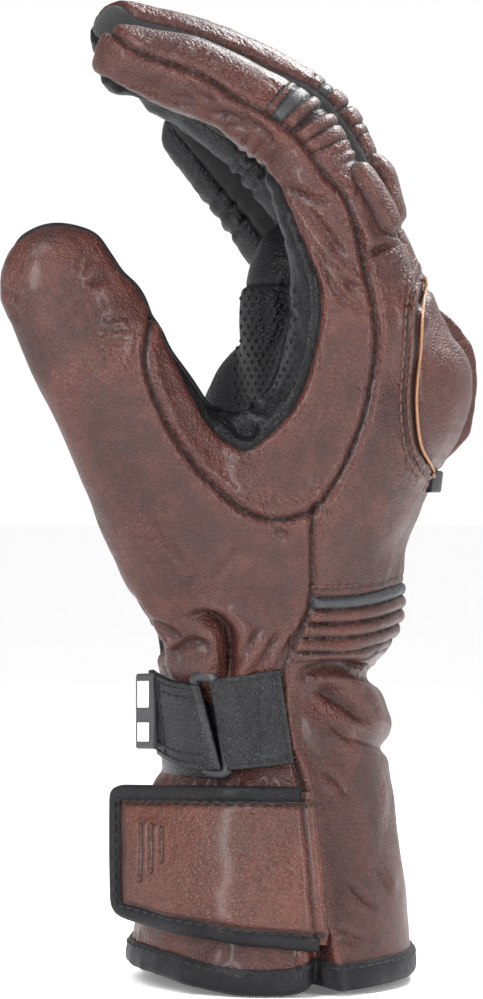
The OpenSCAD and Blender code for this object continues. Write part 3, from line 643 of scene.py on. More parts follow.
# Creases drawn from the thumb side: depth, half width, places
CREASES = [
    (0.9, 1.0, [(-42.4, 200.8), (-44.6, 198.4), (-47.3, 197.3), (-50, 196.6)]),
    (0.6, 0.8, [(-49.6, 206), (-51.2, 203.9), (-52.6, 200.6)]),
    (0.5, 0.8, [(-46.6, 204.6), (-48.9, 201.8), (-50.4, 198.9)]),
    (0.6, 0.9, [(-38.3, 187.8), (-41.5, 187.4), (-45.8, 186.2)]),
    (0.7, 0.9, [(-38.4, 184.6), (-42.4, 184.2), (-47.2, 182.4)]),
    (0.5, 0.9, [(-38.8, 181.6), (-43, 180.6), (-46.6, 178.4)]),
    (0.5, 0.8, [(-40, 178), (-44, 176.4), (-46, 173.6)]),
    (0.7, 0.9, [(-72.3, 195.5), (-70.6, 193.6), (-68.9, 191.4)]),
    (0.5, 0.8, [(-71.5, 191.5), (-69.9, 189.6), (-68.6, 186.6)]),
    (1.1, 1.3, [(2.8, 224.5), (9, 220.9), (15.1, 218.5), (18.4, 219.6)]),
    (0.9, 1.1, [(6, 221), (11, 216.6), (16.4, 210), (21.9, 201.2)]),
    (1.0, 1.2, [(11.9, 208), (15.2, 202), (18.4, 196.2), (21.8, 189)]),
    (0.8, 0.9, [(16, 204.5), (19, 200.2), (22.6, 195.4), (25.4, 190.6)]),
    (0.9, 0.8, [(19.7, 198), (23.4, 196), (26.8, 194.8)]),
    (0.7, 0.8, [(20.4, 193.6), (23.8, 190.4), (28.2, 188.6)]),
    (1.3, 0.9, [(25.2, 203.4), (28.6, 205.2), (32.4, 206.7), (36, 207.8)]),
    (0.7, 0.8, [(24.6, 212), (25.9, 208.2), (26.4, 204.6)]),
    (0.6, 0.7, [(20.8, 229.6), (23.4, 231.2), (26, 231.6)]),
    (0.5, 0.7, [(18.6, 231.4), (21.6, 233.4), (24.6, 234.2)]),
    (0.5, 0.7, [(22.6, 219.4), (24.4, 222.4), (25, 225.8)]),
    (0.7, 0.9, [(-22, 252.6), (-20.2, 249.6), (-17.2, 247.8), (-14, 248.4)]),
    (0.6, 0.8, [(-26.6, 248.4), (-22.4, 248.2), (-18.8, 246.2)]),
    (0.9, 1.1, [(-17, 243.6), (-11, 243.2), (-6.4, 241.4), (-2, 238.6)]),
    (0.7, 0.9, [(-8.2, 246.4), (-4.8, 242), (-1, 238.8), (3, 233.6)]),
    (0.6, 0.8, [(-12.6, 239.8), (-8, 240.2), (-4.6, 238.2)]),
    (3.6, 1.7, [(-22.5, 104.6), (-18, 105.4), (-14.2, 104.0), (-11.6, 101.2), (-10.6, 97.6), (-11, 90), (-12, 84)]),
    (1.6, 1.3, [(-38.4, 112.5), (-35.4, 106.4), (-32.2, 100.7), (-27.4, 94.6), (-23.2, 90.4)]),
    (1.2, 1.1, [(-32.8, 105.2), (-27.6, 101.6), (-22.6, 98.8)]),
    (1.3, 1.2, [(-27.6, 93.4), (-22.6, 97.4), (-17.6, 97.8), (-15.4, 94.6)]),
    (1.0, 1.1, [(-9.2, 90.5), (-5.6, 97.4), (-1.3, 103)]),
    (1.0, 1.1, [(-3.5, 90.5), (0.4, 96.6), (4.3, 102)]),
    (0.9, 1.0, [(1.6, 90.5), (4.4, 95.6), (8, 101.5)]),
    (0.6, 0.9, [(-16.8, 114.6), (-13.6, 117.6), (-9.6, 121.8), (-7.4, 126.4)]),
    (0.5, 0.9, [(-27, 127.4), (-24.6, 121.6), (-21.4, 117.2)]),
    (0.5, 0.9, [(-32.4, 133.2), (-29.6, 126.4), (-26, 121)]),
    (0.7, 0.9, [(1.2, 130.8), (3.4, 128.4), (5.8, 126.4)]),
    (0.5, 0.8, [(12.4, 133.4), (15.4, 134.6), (18.4, 134)]),
    (0.9, 1.0, [(21.7, 33.3), (24.2, 30.2), (26.9, 27.4), (29.8, 25.2)]),
    (0.7, 0.9, [(18.3, 19.8), (22.2, 18.4), (26.4, 16.2)]),
    (0.5, 0.8, [(17.4, 15.4), (20.6, 16.4), (24.6, 14.6)]),
    (0.6, 0.9, [(28.4, 38.6), (31.4, 34.2), (33.2, 29)]),
    (2.3, 1.7, [(11.7, 86), (15.4, 85.2), (19.4, 83.6), (23.4, 80.2), (27.6, 75.4)]),
    (1.8, 1.6, [(7.4, 88.4), (12.4, 90.6), (18.6, 91.4), (24.8, 90.2), (30.4, 87.4)]),
    (0.9, 1.0, [(16.4, 76), (20.4, 73.6), (23.8, 69.4)]),
    (0.8, 1.0, [(24.4, 84.4), (27.4, 81.4), (29, 77.4)]),
    (0.7, 0.9, [(14.6, 63), (18.8, 60.2), (21.6, 55.4)]),
    (0.7, 0.8, [(8.4, 186.8), (4.6, 190.6), (1.4, 196.4)]),
    (0.8, 0.9, [(-1.4, 176.4), (2.6, 181.4), (4.4, 187.8), (4.4, 195.6), (6.4, 203)]),
    (1.4, 1.3, [(-13.4, 163.4), (-8.6, 162.2), (-4, 163), (1, 161.4)]),
    (2.2, 2.0, [(-10, 158), (-6.4, 156.4), (-2.4, 156.6)]),
]
# Height of the armour's dome along Z, as a share of its full height
DOME = [(140, 0.35), (146, 0.5), (152, 0.72), (160, 0.95), (170, 1.0), (177, 0.97), (184, 0.66), (190, 0.3),
        (196, 0.1), (201, 0.04)]


def relief(m):
    """Height to move each point along its normal, the painted shade that darkens its colour in seams, grooves and
    creases, and how crinkled.
    """
    p, q, v, owner = m["p"], m["q"], m["v"], m["owner"]
    n = len(p)
    h = np.zeros(n); dark = np.zeros(n); crinkle = np.zeros(n)
    x, y, z = p.T
    near_side = m["near_side"] * 1.0
    fingers = (owner >= 1) & (owner <= 4)
    flank = (owner == 1) & (m["a"] < 0)             # thumb side of the index finger
    wobble = noise(p, 5.0)

    def seam(d, where, depth=1.0, width=0.7, puff=0.4, pucker=0.3, shade=0.9, pitch=2.4, along=None):
        nonlocal h, dark, crinkle
        k = np.asarray(where, float)
        h = h - k * depth * bell(d, width) + k * puff * bell(np.abs(d) - 2.3, 1.5)
        if pucker:
            lines = np.stack([p[:, 0] if along is None else along, np.abs(d) * 0.22, np.sign(d) * 9 + 0 * d], 1)
            k2 = k * bell(np.abs(d) - 1.9, 2.3)
            h = h + pucker * k2 * noise(lines, pitch)
            crinkle = np.maximum(crinkle, 0.6 * k2)
        # painted shade: the colour is darkened along the seam's groove
        dark = np.maximum(dark, k * shade * bell(d, 0.55))

    # broad softness and fine wrinkles of worn leather
    h += np.where(owner == 5, 0.2, 0.4) * noise(p, 15) + 0.18 * noise(p + 50, 7)
    fold = np.stack([x + 0.5 * z, y, z * 0.45], 1)
    h -= 0.34 * ridges(fold, 6.5) * np.clip(noise(p + 9, 22) + 0.3, 0, 1)
    h -= 0.16 * ridges(np.stack([x - 0.4 * z, y, z * 0.6], 1) + 31, 3.6) * np.clip(noise(p + 19, 14) + 0.1, 0, 1)

    _, along = to_line(q, web_line)
    on_web = near_side * ((owner == 1) | (q[:, 1] < 215) * (owner != 4))
    seam(m["web"], on_web * (q[:, 1] > 129), 1.25, 0.75, 0.55, 0.42, 1.0, 2.3, along)
    seam(m["palm"], near_side * (q[:, 1] > 149) * (q[:, 0] > -50), 1.1, 0.7, 0.45, 0.25, 1.0, 3.0, q[:, 1])
    turn = m["turn"] * 13
    seam(turn, (owner == THUMB_OWNER) * (m["palm"] < 3), 0.5, 0.7, 0.1, 0.1, 0.6)
    seam(m["side"], m["facing"] * (q[:, 1] < 137), 1.1, 0.75, 0.35, 0.2, 0.9, 3.0, q[:, 1])
    # the back panel laps over the side seam beside the flap and strap
    lap = m["facing"] * step(88 - q[:, 1], 0, 6)
    h += lap * 0.9 * step(m["side"], 0, 0.8) * (1 - step(m["side"], 0.8, 5)) + lap * 0.5 * bell(m["side"] - 1.1, 0.9)
    far = (owner == HAND) & (y > 0)
    seam((v - BACK_SEAM) * 0.78, far, 1.0, 0.75, 0.35, 0.25, 0.9, 2.8, z)
    seam((v - PALM_SEAM) * 0.78, far * (z > SIDE_PANEL_FROM), 0.9, 0.75, 0.3, 0.25, 0.9, 2.8, z)
    not_index_side = fingers & ~flank
    seam(m["seam_hi"] * 0.2, not_index_side, 0.9, 0.65, 0.3, 0.2, 0.9, 2.4, m["run"])
    seam(m["seam_lo"] * 0.2, not_index_side, 0.7, 0.65, 0.25, 0.15, 0.9, 2.6, m["run"])
    # stretch fabric between the fingers lies lower than the leather
    h -= 0.5 * not_index_side * step(m["seam_hi"], 0, 4) * step(-m["seam_lo"], 0, 4)

    # stretch ribs over the fingers
    on_back = fingers * np.where(flank, step(-m["web"], 0.1, 1.2) * step(m["a"], -150, -120),
                                 step(-m["seam_hi"], 0, 3))
    heights = [0.9, 0.75, 1.3, -0.9, 1.35, 0.9]
    rib_on = np.zeros(n)
    for k in range(6):
        lo = by_finger(owner, [RIB_EDGES[f][k] for f in FINGERS])
        hi = by_finger(owner, [RIB_EDGES[f][k + 1] for f in FINGERS], 1)
        u = (m["rib"] - lo) / (hi - lo)
        inside_rib = (u >= 0) & (u <= 1)
        h += on_back * inside_rib * (heights[k] * bead(u) - 0.45)
        rib_on = np.maximum(rib_on, on_back * inside_rib)
        # painted shade: dark lines in the grooves at both edges of each rib
        for e in (lo, hi):
            dark = np.maximum(dark, on_back * 0.95 * bell(m["rib"] - e, 0.42))
    # gathers fan out below and above the ribs
    beyond = np.where(m["rib"] > 14, m["rib"] - 14.4, -m["rib"])
    gather = on_back * (1 - rib_on) * step(beyond, -0.5, 0.5) * (1 - step(beyond, 1.5, 8))
    h += gather * 0.45 * noise(np.stack([m["a"] * 0.2, m["run"] * 0.12, owner * 5.0], 1), 1.7)
    crinkle = np.maximum(crinkle, gather)

    # padded knuckle bars on the fingers
    pad = m["pad"] * step(-m["seam_hi"], -2, 2)
    h += fingers * (2.1 * step(pad, -0.2, 2.2) * (m["pad"] > -0.2) - 0.55 * bell(m["pad"], 0.6)
                    + 0.5 * step(m["pad"], 1.5, 5))
    # painted shade in the groove round each pad
    dark = np.maximum(dark, fingers * 0.75 * bell(m["pad"] + 0.15, 0.5))

    # wrist ribs
    back_side = (owner == 0) * np.where(y < 0, step(m["side"], 0.0, 1.2), step(72 - v, 0, 4)) * (np.abs(v) < 100)
    w_heights = [0.7, 1.5, 1.6, 1.6, 1.3, 0.6]
    for k in range(6):
        lo, hi = WRIST_EDGES[k], WRIST_EDGES[k + 1]
        u = (m["wrist"] - lo) / (hi - lo)
        on = (u >= 0) & (u <= 1)
        profile = np.clip(bead(u) * (1.25 if k == ACCENT else 1), 0, 1)
        h += back_side * on * (w_heights[k] * profile - 0.5)
        # painted shade in the grooves between the wrist ribs
        for e in (lo, hi):
            dark = np.maximum(dark, back_side * (0.95 if 0 < k < 5 else 0.5) * bell(m["wrist"] - e, 0.5))
    below = WRIST_EDGES[0] - m["wrist"]
    gather = back_side * step(below, 0, 1) * (1 - step(below, 3, 12))
    h += gather * 0.5 * noise(np.stack([v * 0.7, z * 0.35, 0 * z], 1), 3.2)
    crinkle = np.maximum(crinkle, gather * step(x, 10, 30))
    above = m["wrist"] - WRIST_EDGES[-1]
    gather = back_side * step(above, 0, 1) * (1 - step(above, 2, 14)) * step(x, 20, 34)
    h += gather * 0.4 * noise(np.stack([v * 0.7, z * 0.3, 4 + 0 * z], 1), 2.6)

    # knuckle armour
    A = m["armour"]
    zs = curve_at(DOME, z)[0]
    on_arm = owner != THUMB_OWNER
    h += on_arm * (1.2 * step(A, 0, 1.4) + 8.2 * zs * step(A, 0.2, 13.5))
    h += on_arm * (-0.9 * bell(A + 0.4, 0.7) + 0.5 * bell(A + 2.2, 0.9) - 0.35 * bell(A + 3.4, 0.6)
                   + 0.3 * bell(A + 4.6, 0.9))
    # painted shade in the grooves along the armour's edge
    dark = np.maximum(dark, on_arm * (0.9 * bell(A + 0.5, 0.6) + 0.75 * bell(A + 3.4, 0.4)))
    rim = on_arm * bell(A + 4, 4.5) * ((z > 186) | (z < 152))
    h += 0.5 * rim * noise(np.stack([v * 0.75, z * 0.25, 2 + 0 * z], 1), 2.6)
    crinkle = np.maximum(crinkle, rim * 0.8)
    h -= on_arm * step(A, 1, 4) * 0.3 * ridges(np.stack([z, v * 0.22, 0 * z], 1), 9)

    # textured palm patch
    on_grip = (owner == HAND) * (np.abs(v) > GRIP_ANGLE)
    h += on_grip * (0.9 * step(m["grip"], -0.2, 0.9) - 0.4 * bell(m["grip"], 0.6)) * (m["palm"] > -90)
    # painted shade in the groove round the grip patch
    dark = np.maximum(dark, on_grip * 0.7 * bell(m["grip"], 0.5))

    # cuff: gathers above and below the flap, fold of the gusset, dents at the strap
    palm_side = m["facing"] * step(-m["side"], 0, 3) + ((y >= -4) & (x < 8))
    palm_side = np.clip(palm_side, 0, 1)
    ring = np.stack([np.sin(np.radians(v)) * 42, np.cos(np.radians(v)) * 42, z * 0.22], 1)
    h += palm_side * 2.3 * bell(z - 60.5, 4.2) * noise(ring, 3.9)
    h += palm_side * 1.3 * bell(z - 92, 4.5) * noise(ring + 30, 6.5)
    h += palm_side * 1.1 * (1 - step(z, 14, 26)) * noise(np.stack([ring[:, 0] + 0.8 * z, ring[:, 1], z * 0.3], 1), 5.2)
    h -= palm_side * 1.6 * bell(z - 76, 11)
    gusset = 5.2 * bell(v + 71.5, 3.0) - 2.2 * bell(v + 78, 3.4) - 1.4 * bell(v + 65, 2.6)
    h -= (y < 0) * gusset * (1 - step(z, 16, 27))
    crinkle = np.maximum(crinkle, 0.5 * palm_side * bell(z - 92, 8))
    dent = (q[:, 0] - 18.6) * 0.93 - (q[:, 1] - 79.6) * 0.36, (q[:, 0] - 18.6) * 0.36 + (q[:, 1] - 79.6) * 0.93
    h -= m["facing"] * 2.0 * np.exp(-(dent[0] / 8.5) ** 2 - (dent[1] / 3.6) ** 2)
    # the back of the cuff folds outwards between two nips
    nips = q[:, 1] + 0.35 * (q[:, 0] - 30)
    rear = (owner == 0) * step(q[:, 0], 17, 27) * (y < 28)
    h += rear * (1.7 * bell(nips - 77, 4.2) - 2.0 * bell(nips - 88.5, 2.2) - 2.2 * bell(nips - 70.2, 1.8))
    crinkle = np.maximum(crinkle, m["facing"] * 0.9 * np.exp(-(dent[0] / 9) ** 2 - (dent[1] / 4.5) ** 2))
    # heel of the hand over the strap
    h += m["facing"] * 1.1 * bell(q[:, 0] + 3.4, 7) * bell(q[:, 1] - 95, 7)

    # drawn creases
    for depth, width, line in CREASES:
        line = smooth_path(line, 12)
        lo, hi = line.min(0) - 6, line.max(0) + 6
        k = np.nonzero(m["near_side"] & np.all((q > lo) & (q < hi), 1))[0]
        if not len(k):
            continue
        d, r = to_line(q[k], line)
        L = np.sum(np.linalg.norm(np.diff(line, axis=0), axis=1))
        taper = step(r, -1, L * 0.3) * (1 - step(r, L * 0.7, L + 1))
        w = width * (0.6 + 0.5 * taper)
        fold = -bell(d, w) + 0.42 * bell(d - 2.1 * w, 1.4 * w) + 0.25 * bell(d + 2.1 * w, 1.4 * w)
        h[k] += 1.35 * taper * depth * fold
        # painted shade along the bottom of each crease
        dark[k] = np.maximum(dark[k], taper * min(depth, 1.2) * 0.5 * bell(d, w * 0.6))
        crinkle[k] = np.maximum(crinkle[k], 0.4 * taper * bell(d, 3))

    # the crook of each finger and of the thumb, on the palm side
    for k, name in enumerate(FINGERS, 1):
        bend = rib_run[name] - 7
        inner = (owner == k) * step(np.abs(m["a"]), 95, 125)
        for off, deep in ((-4, 1.0), (1.5, 1.4), (6.5, 0.9)):
            h -= inner * deep * bell(m["run"] - bend - off + 0.8 * wobble, 0.9)
        h += inner * 0.5 * noise(np.stack([m["run"], m["a"] * 0.07, owner * 3.0], 1), 3.4)
    # crinkled patches where the leather shines
    patch = np.clip(noise(p + 77, 16) * 1.6, 0, 1)
    crinkle = np.clip(np.maximum(crinkle, 0.75 * patch * (1 - rib_on)), 0, 1)
    crinkle *= 1 - 0.8 * step(A, 0, 3)
    return h, np.clip(dark, 0, 1), crinkle


M["h"], M["dark"], M["crinkle"] = relief(M)
base = M["p"]
skin = base + M["n"] * M["h"][:, None]


def face_normals(points, faces):
    return np.cross(points[faces[:, 1]] - points[faces[:, 0]], points[faces[:, 2]] - points[faces[:, 0]])


def point_normals(points, faces):
    f = face_normals(points, faces)
    out = np.zeros_like(points)
    for k in range(3):
        for c in range(3):
            out[:, c] += np.bincount(faces[:, k], f[:, c], len(points))
    return unit(out + 1e-12)


# ease jagged spots that steep relief leaves, away from the seams
e = np.unique(edges_of(tris), axis=0)
number = np.maximum(np.bincount(e.ravel(), minlength=len(skin)), 1).astype(float)
loose = (0.35 * (1 - M["dark"]))[:, None]
for _ in range(2):
    skin = skin + loose * (neighbours_mean(e, number, skin) - skin)
skin_n = point_normals(skin, tris)

# ---- Panels, and the bodies that they ride on -------------------------------------------

PANELS = ["back", "cuff_palm", "armour", "palm", "grip", "side", "web", "thumb_back", "thumb_palm",
          "finger_back", "finger_palm", "fabric", "accent"]
KIND = {name: k for k, name in enumerate(PANELS)}


def panel_of():
    """Which panel each triangle of the skin belongs to."""
    mean = lambda k: M[k][tris].mean(1)
    c = base[tris].mean(1)
    q, v = seen(c), around(c)
    own = np.sort(M["owner"][tris], 1)[:, 1]
    facing = M["facing"][tris].sum(1) >= 2
    near = M["near_side"][tris].sum(1) >= 2
    palm, web, side, turn = mean("palm"), mean("web"), mean("side"), mean("turn")
    a_left = M["a"][tris].min(1) < 0
    x, z = q.T
    out = np.full(len(tris), KIND["back"])
    body = own == HAND
    far = body & ~facing
    low = body & facing & (z < 137)
    out[low & (side < 0)] = KIND["cuff_palm"]
    out[low & (side < 0) & (z > CUFF_PALM_TOP)] = KIND["thumb_back"]
    out[far & (v > BACK_SEAM)] = KIND["cuff_palm"]
    out[far & (v > BACK_SEAM) & (c[:, 2] > CUFF_PALM_TOP)] = KIND["palm"]
    out[far & (v > BACK_SEAM) & (v < PALM_SEAM) & (c[:, 2] > SIDE_PANEL_FROM)] = KIND["side"]
    out[far & (v < -90)] = KIND["cuff_palm"]
    out[far & (v < -90) & (c[:, 2] > CUFF_PALM_TOP)] = KIND["palm"]
    out[(out == KIND["thumb_back"]) & (turn > 0)] = KIND["palm"]
    high = body & near & (z >= 129)
    out[high & (x < 5) & (z >= 137)] = KIND["thumb_back"]
    out[high & (x < 5) & (turn > 0)] = KIND["palm"]
    out[high & (web > 0)] = KIND["web"]
    out[high & (palm > 0)] = KIND["palm"]
    out[body & (mean("grip") > 0) & (np.abs(v) > GRIP_ANGLE) & (c[:, 2] > GRIP_FROM)] = KIND["grip"]
    out[(mean("armour") > 0) & (own != THUMB_OWNER)] = KIND["armour"]
    thumb = own == THUMB_OWNER
    out[thumb] = np.where(turn[thumb] < 0, KIND["thumb_back"], KIND["thumb_palm"])
    out[thumb & near & (web > 0)] = KIND["web"]
    out[thumb & near & (palm > 0)] = KIND["thumb_palm"]
    finger = (own > 0) & (own < 5) & (out != KIND["armour"])
    hi, lo = mean("seam_hi"), mean("seam_lo")
    out[finger] = KIND["finger_back"]
    out[finger & (hi > 0)] = KIND["fabric"]
    out[finger & (lo > 0)] = KIND["finger_palm"]
    flank = finger & (own == 1) & a_left
    out[flank] = KIND["finger_back"]
    out[flank & near & (web > 0)] = KIND["web"]
    out[flank & ~near & (lo > 0)] = KIND["finger_palm"]
    out[flank & near & (palm > 0)] = KIND["finger_palm"]
    rib = mean("rib")
    edges = by_finger(own, [RIB_EDGES[k][1:3] for k in FINGERS], [0, 0])
    in_rib = (rib > edges[:, 0]) & (rib < edges[:, 1]) & ((hi < 0) | flank)
    out[(out == KIND["finger_back"]) & in_rib] = KIND["accent"]
    wrist = mean("wrist")
    out[(out == KIND["back"]) & (wrist > WRIST_EDGES[ACCENT]) & (wrist < WRIST_EDGES[ACCENT + 1])] = KIND["accent"]
    return out, own


JOINTS = {j["name"]: np.array(j["pos_m"]) * 1000 for j in frame["joints"]}
THUMB_CROOK, THUMB_WAY = np.array([-8.0, -40, 151]), unit([-0.75, -0.25, 0.6])
THUMB_BEND, THUMB_RUN = np.array([-39.5, -50, 163]), unit([-16.5, -4, 33])
ROOTS = {}
for name in FINGERS:
    root, bend = JOINTS[name + "_knuckle"], JOINTS[name + "_curl"]
    way = unit(unit(bend - root) + np.array([0, 0, 1.0]))
    across = unit(TUBES[name].along[np.argmin(np.linalg.norm(TUBES[name].c - bend, axis=1))])
    long = 0 if name == "little" else 2
    ROOTS[name] = (root, way, bend, across, 18 + long, 14 + 2 * long)

# Each zone: the two bodies that it lies between, and the points where it starts and ends
ZONES = [("cuff", "cuff", "hand", (2, 0, 92), (2, 0, 106)), ("hand", "hand", None, None, None)]
for name in FINGERS:
    root, way, bend, across, _, full = ROOTS[name]
    ZONES.append((name + "_root", "hand", name + "_base", root + 5 * way, root + (full + 1) * way))
    ZONES.append((name + "_end", name + "_base", name + "_tip", bend - 8.5 * across, bend + 8.5 * across))
ZONES.append(("thumb_root", "hand", "thumb_base", THUMB_CROOK + 2 * THUMB_WAY, THUMB_CROOK + 16 * THUMB_WAY))
ZONES.append(("thumb_end", "thumb_base", "thumb_tip", THUMB_BEND - 9 * THUMB_RUN, THUMB_BEND + 9 * THUMB_RUN))
ZONE = {z[0]: k for k, z in enumerate(ZONES)}
CUFF_TOP = 107                                    # height where the cuff's zone ends


def zone_of(p, own=None):
    """Zone of each point; `own` says which finger or thumb it is on."""
    if own is None:
        own = measure_owner(p)
    out = np.full(len(p), ZONE["hand"])
    out[(own == HAND) & (p[:, 2] < CUFF_TOP)] = ZONE["cuff"]
    for k, name in enumerate(FINGERS, 1):
        root, way, _, _, cut_at, _ = ROOTS[name]
        s = (p - root) @ way
        out[(own == k) & (s > 3)] = ZONE[name + "_root"]
        out[(own == k) & (s > cut_at)] = ZONE[name + "_end"]
    thumb = own == THUMB_OWNER
    out[thumb & (p[:, 2] < CUFF_TOP)] = ZONE["cuff"]
    out[thumb & ((p - THUMB_CROOK) @ THUMB_WAY > 0) & (p[:, 2] >= CUFF_TOP)] = ZONE["thumb_root"]
    out[thumb & ((p - THUMB_BEND) @ THUMB_RUN > -10)] = ZONE["thumb_end"]
    return out


def measure_owner(p):
    """Which part of the glove each point is nearest to: HAND, a finger or the thumb."""
    best = torso(p) + 0.6
    out = np.zeros(len(p), int)
    for k, name in enumerate(FINGERS + ["thumb"], 1):
        d = TUBES[name].near(p)[0]
        out[d < best] = k
        best = np.minimum(best, d)
    return out


def mesh_of(name, points, faces, normals=None, shade=None):
    """A mesh from millimetres: points, faces with the same number of corners, normals and shading values."""
    used, back = np.unique(faces, return_inverse=True)
    faces = back.reshape(faces.shape).astype(np.int32)
    me = bpy.data.meshes.new(name)
    me.vertices.add(len(used))
    me.vertices.foreach_set("co", (points[used] / 1000).astype(np.float32).ravel())
    me.loops.add(faces.size)
    me.loops.foreach_set("vertex_index", faces.ravel())
    me.polygons.add(len(faces))
    me.polygons.foreach_set("loop_start", np.arange(0, faces.size, faces.shape[1], dtype=np.int32))
    me.update()
    me.polygons.foreach_set("use_smooth", np.ones(len(faces), bool))
    tone = np.zeros((len(used), 4), np.float32)
    tone[:, 3] = 1
    if shade is not None:
        tone[:, :shade.shape[1]] = shade[used]
    me.color_attributes.new("shade", "FLOAT_COLOR", "POINT").data.foreach_set("color", tone.ravel())
    if normals is not None:
        me.normals_split_custom_set_from_vertices(normals[used].astype(np.float32).tolist())
    return me


PIECES = {}


def linked(name, data):
    """A new object in the scene."""
    ob = bpy.data.objects.new(name, data)
    bpy.context.scene.collection.objects.link(ob)
    return ob


def place(name, me, zone, material, nodes=()):
    """Adds a piece that rides on one body, given by name, or lies in a zone, given by number: on the zone's one body,
    or with its place baked into its mesh.
    """
    ob = linked(name, me)
    me.materials.append(material)
    if isinstance(zone, str):
        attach(ob, zone)
    else:
        _, a, b, start, end = ZONES[zone]
        if b is None:
            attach(ob, a)
        else:
            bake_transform(ob)
    if nodes:
        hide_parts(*nodes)
    PIECES[name] = ob
    return ob


# ---- Materials --------------------------------------------------------------------------

def material(name, build):
    """A Principled material whose nodes are laid by build(graph)."""
    mat = bpy.data.materials.new(name)
    mat.use_nodes = True
    nt = mat.node_tree
    nt.nodes.clear()
    out = nt.nodes.new("ShaderNodeOutputMaterial")
    shader = nt.nodes.new("ShaderNodeBsdfPrincipled")
    nt.links.new(shader.outputs[0], out.inputs[0])
    build(Graph(nt, shader))
    return mat


class Graph:
    """Short hand for shader nodes."""
    def __init__(self, tree, shader):
        self.t, self.shader = tree, shader
        self.at = tree.nodes.new("ShaderNodeTexCoord").outputs["Object"]
        tone = tree.nodes.new("ShaderNodeAttribute")
        tone.attribute_name = "shade"
        split = tree.nodes.new("ShaderNodeSeparateColor")
        tree.links.new(tone.outputs["Color"], split.inputs[0])
        # the shade attribute: painted shade of seams, grooves and creases, then crinkle, then relief height
        self.dark, self.crinkle, self.level = split.outputs

    def feed(self, socket, value):
        """Links an output to a socket, or sets the socket's value."""
        if hasattr(value, "links"):
            self.t.links.new(value, socket)
        else:
            socket.default_value = value

    def put(self, socket, value):
        self.feed(self.shader.inputs[socket], value)

    def math(self, op, a, b=0.0, clamp=False):
        n = self.t.nodes.new("ShaderNodeMath")
        n.operation, n.use_clamp = op, clamp
        self.feed(n.inputs[0], a)
        self.feed(n.inputs[1], b)
        return n.outputs[0]

    def times(self, a, b):
        return self.math("MULTIPLY", a, b)

    def texture(self, kind, at=None, **inputs):
        """A node that is fed with the object's coordinates."""
        n = self.t.nodes.new(kind)
        for socket, value in inputs.items():
            n.inputs[socket].default_value = value
        self.t.links.new(at or self.at, n.inputs["Vector"])
        return n

    def noise(self, scale, detail=3.0, rough=0.55, distortion=0.0):
        return self.texture("ShaderNodeTexNoise", Scale=scale, Detail=detail, Roughness=rough,
                            Distortion=distortion).outputs["Fac"]

    def cells(self, scale, at=None):
        """Distance to the edge of the nearest cell."""
        n = self.texture("ShaderNodeTexVoronoi", at, Scale=scale)
        n.feature = "DISTANCE_TO_EDGE"
        return n.outputs["Distance"]

    def wave(self, scale, distortion=0.0, direction="X"):
        n = self.texture("ShaderNodeTexWave", Scale=scale, Distortion=distortion)
        n.bands_direction = direction
        return n.outputs["Fac"]

    def warp(self, amount, scale, stretch):
        """Object coordinates pushed about by noise, so that cells don't look like cells."""
        n = self.texture("ShaderNodeTexNoise", Scale=scale, Detail=3)
        m = self.t.nodes.new("ShaderNodeVectorMath")
        m.operation = "MULTIPLY_ADD"
        m.inputs[1].default_value = (amount,) * 3
        self.t.links.new(n.outputs["Color"], m.inputs[0])
        self.t.links.new(self.texture("ShaderNodeMapping", Scale=stretch).outputs[0], m.inputs[2])
        return m.outputs[0]

    def ramp(self, value, *stops):
        n = self.t.nodes.new("ShaderNodeValToRGB")
        e = n.color_ramp.elements
        while len(e) < len(stops):
            e.new(0.5)
        for el, (pos, colour) in zip(e, stops):
            el.position = pos
            el.color = (*colour, 1) if isinstance(colour, tuple) else (colour, colour, colour, 1)
        self.t.links.new(value, n.inputs[0])
        return n.outputs[0]

    def mix(self, fac, a, b):
        n = self.t.nodes.new("ShaderNodeMix")
        n.data_type = "RGBA"
        for name, kind, x in (("Factor", "VALUE", fac), ("A", "RGBA", a), ("B", "RGBA", b)):
            socket = next(i for i in n.inputs if i.name == name and i.type == kind)
            self.feed(socket, (*x, 1) if isinstance(x, tuple) else x)
        return [o for o in n.outputs if o.type == "RGBA"][0]

    def tint(self, colour, other, mask, amount):
        """A colour mixed with another where a mask says so."""
        return self.mix(self.times(mask, amount), colour, other)

    def bump(self, height, distance, strength=1.0, under=None):
        n = self.t.nodes.new("ShaderNodeBump")
        n.inputs["Distance"].default_value = distance
        self.feed(n.inputs["Strength"], strength)
        self.t.links.new(height, n.inputs["Height"])
        if under is not None:
            self.t.links.new(under, n.inputs["Normal"])
        return n.outputs[0]


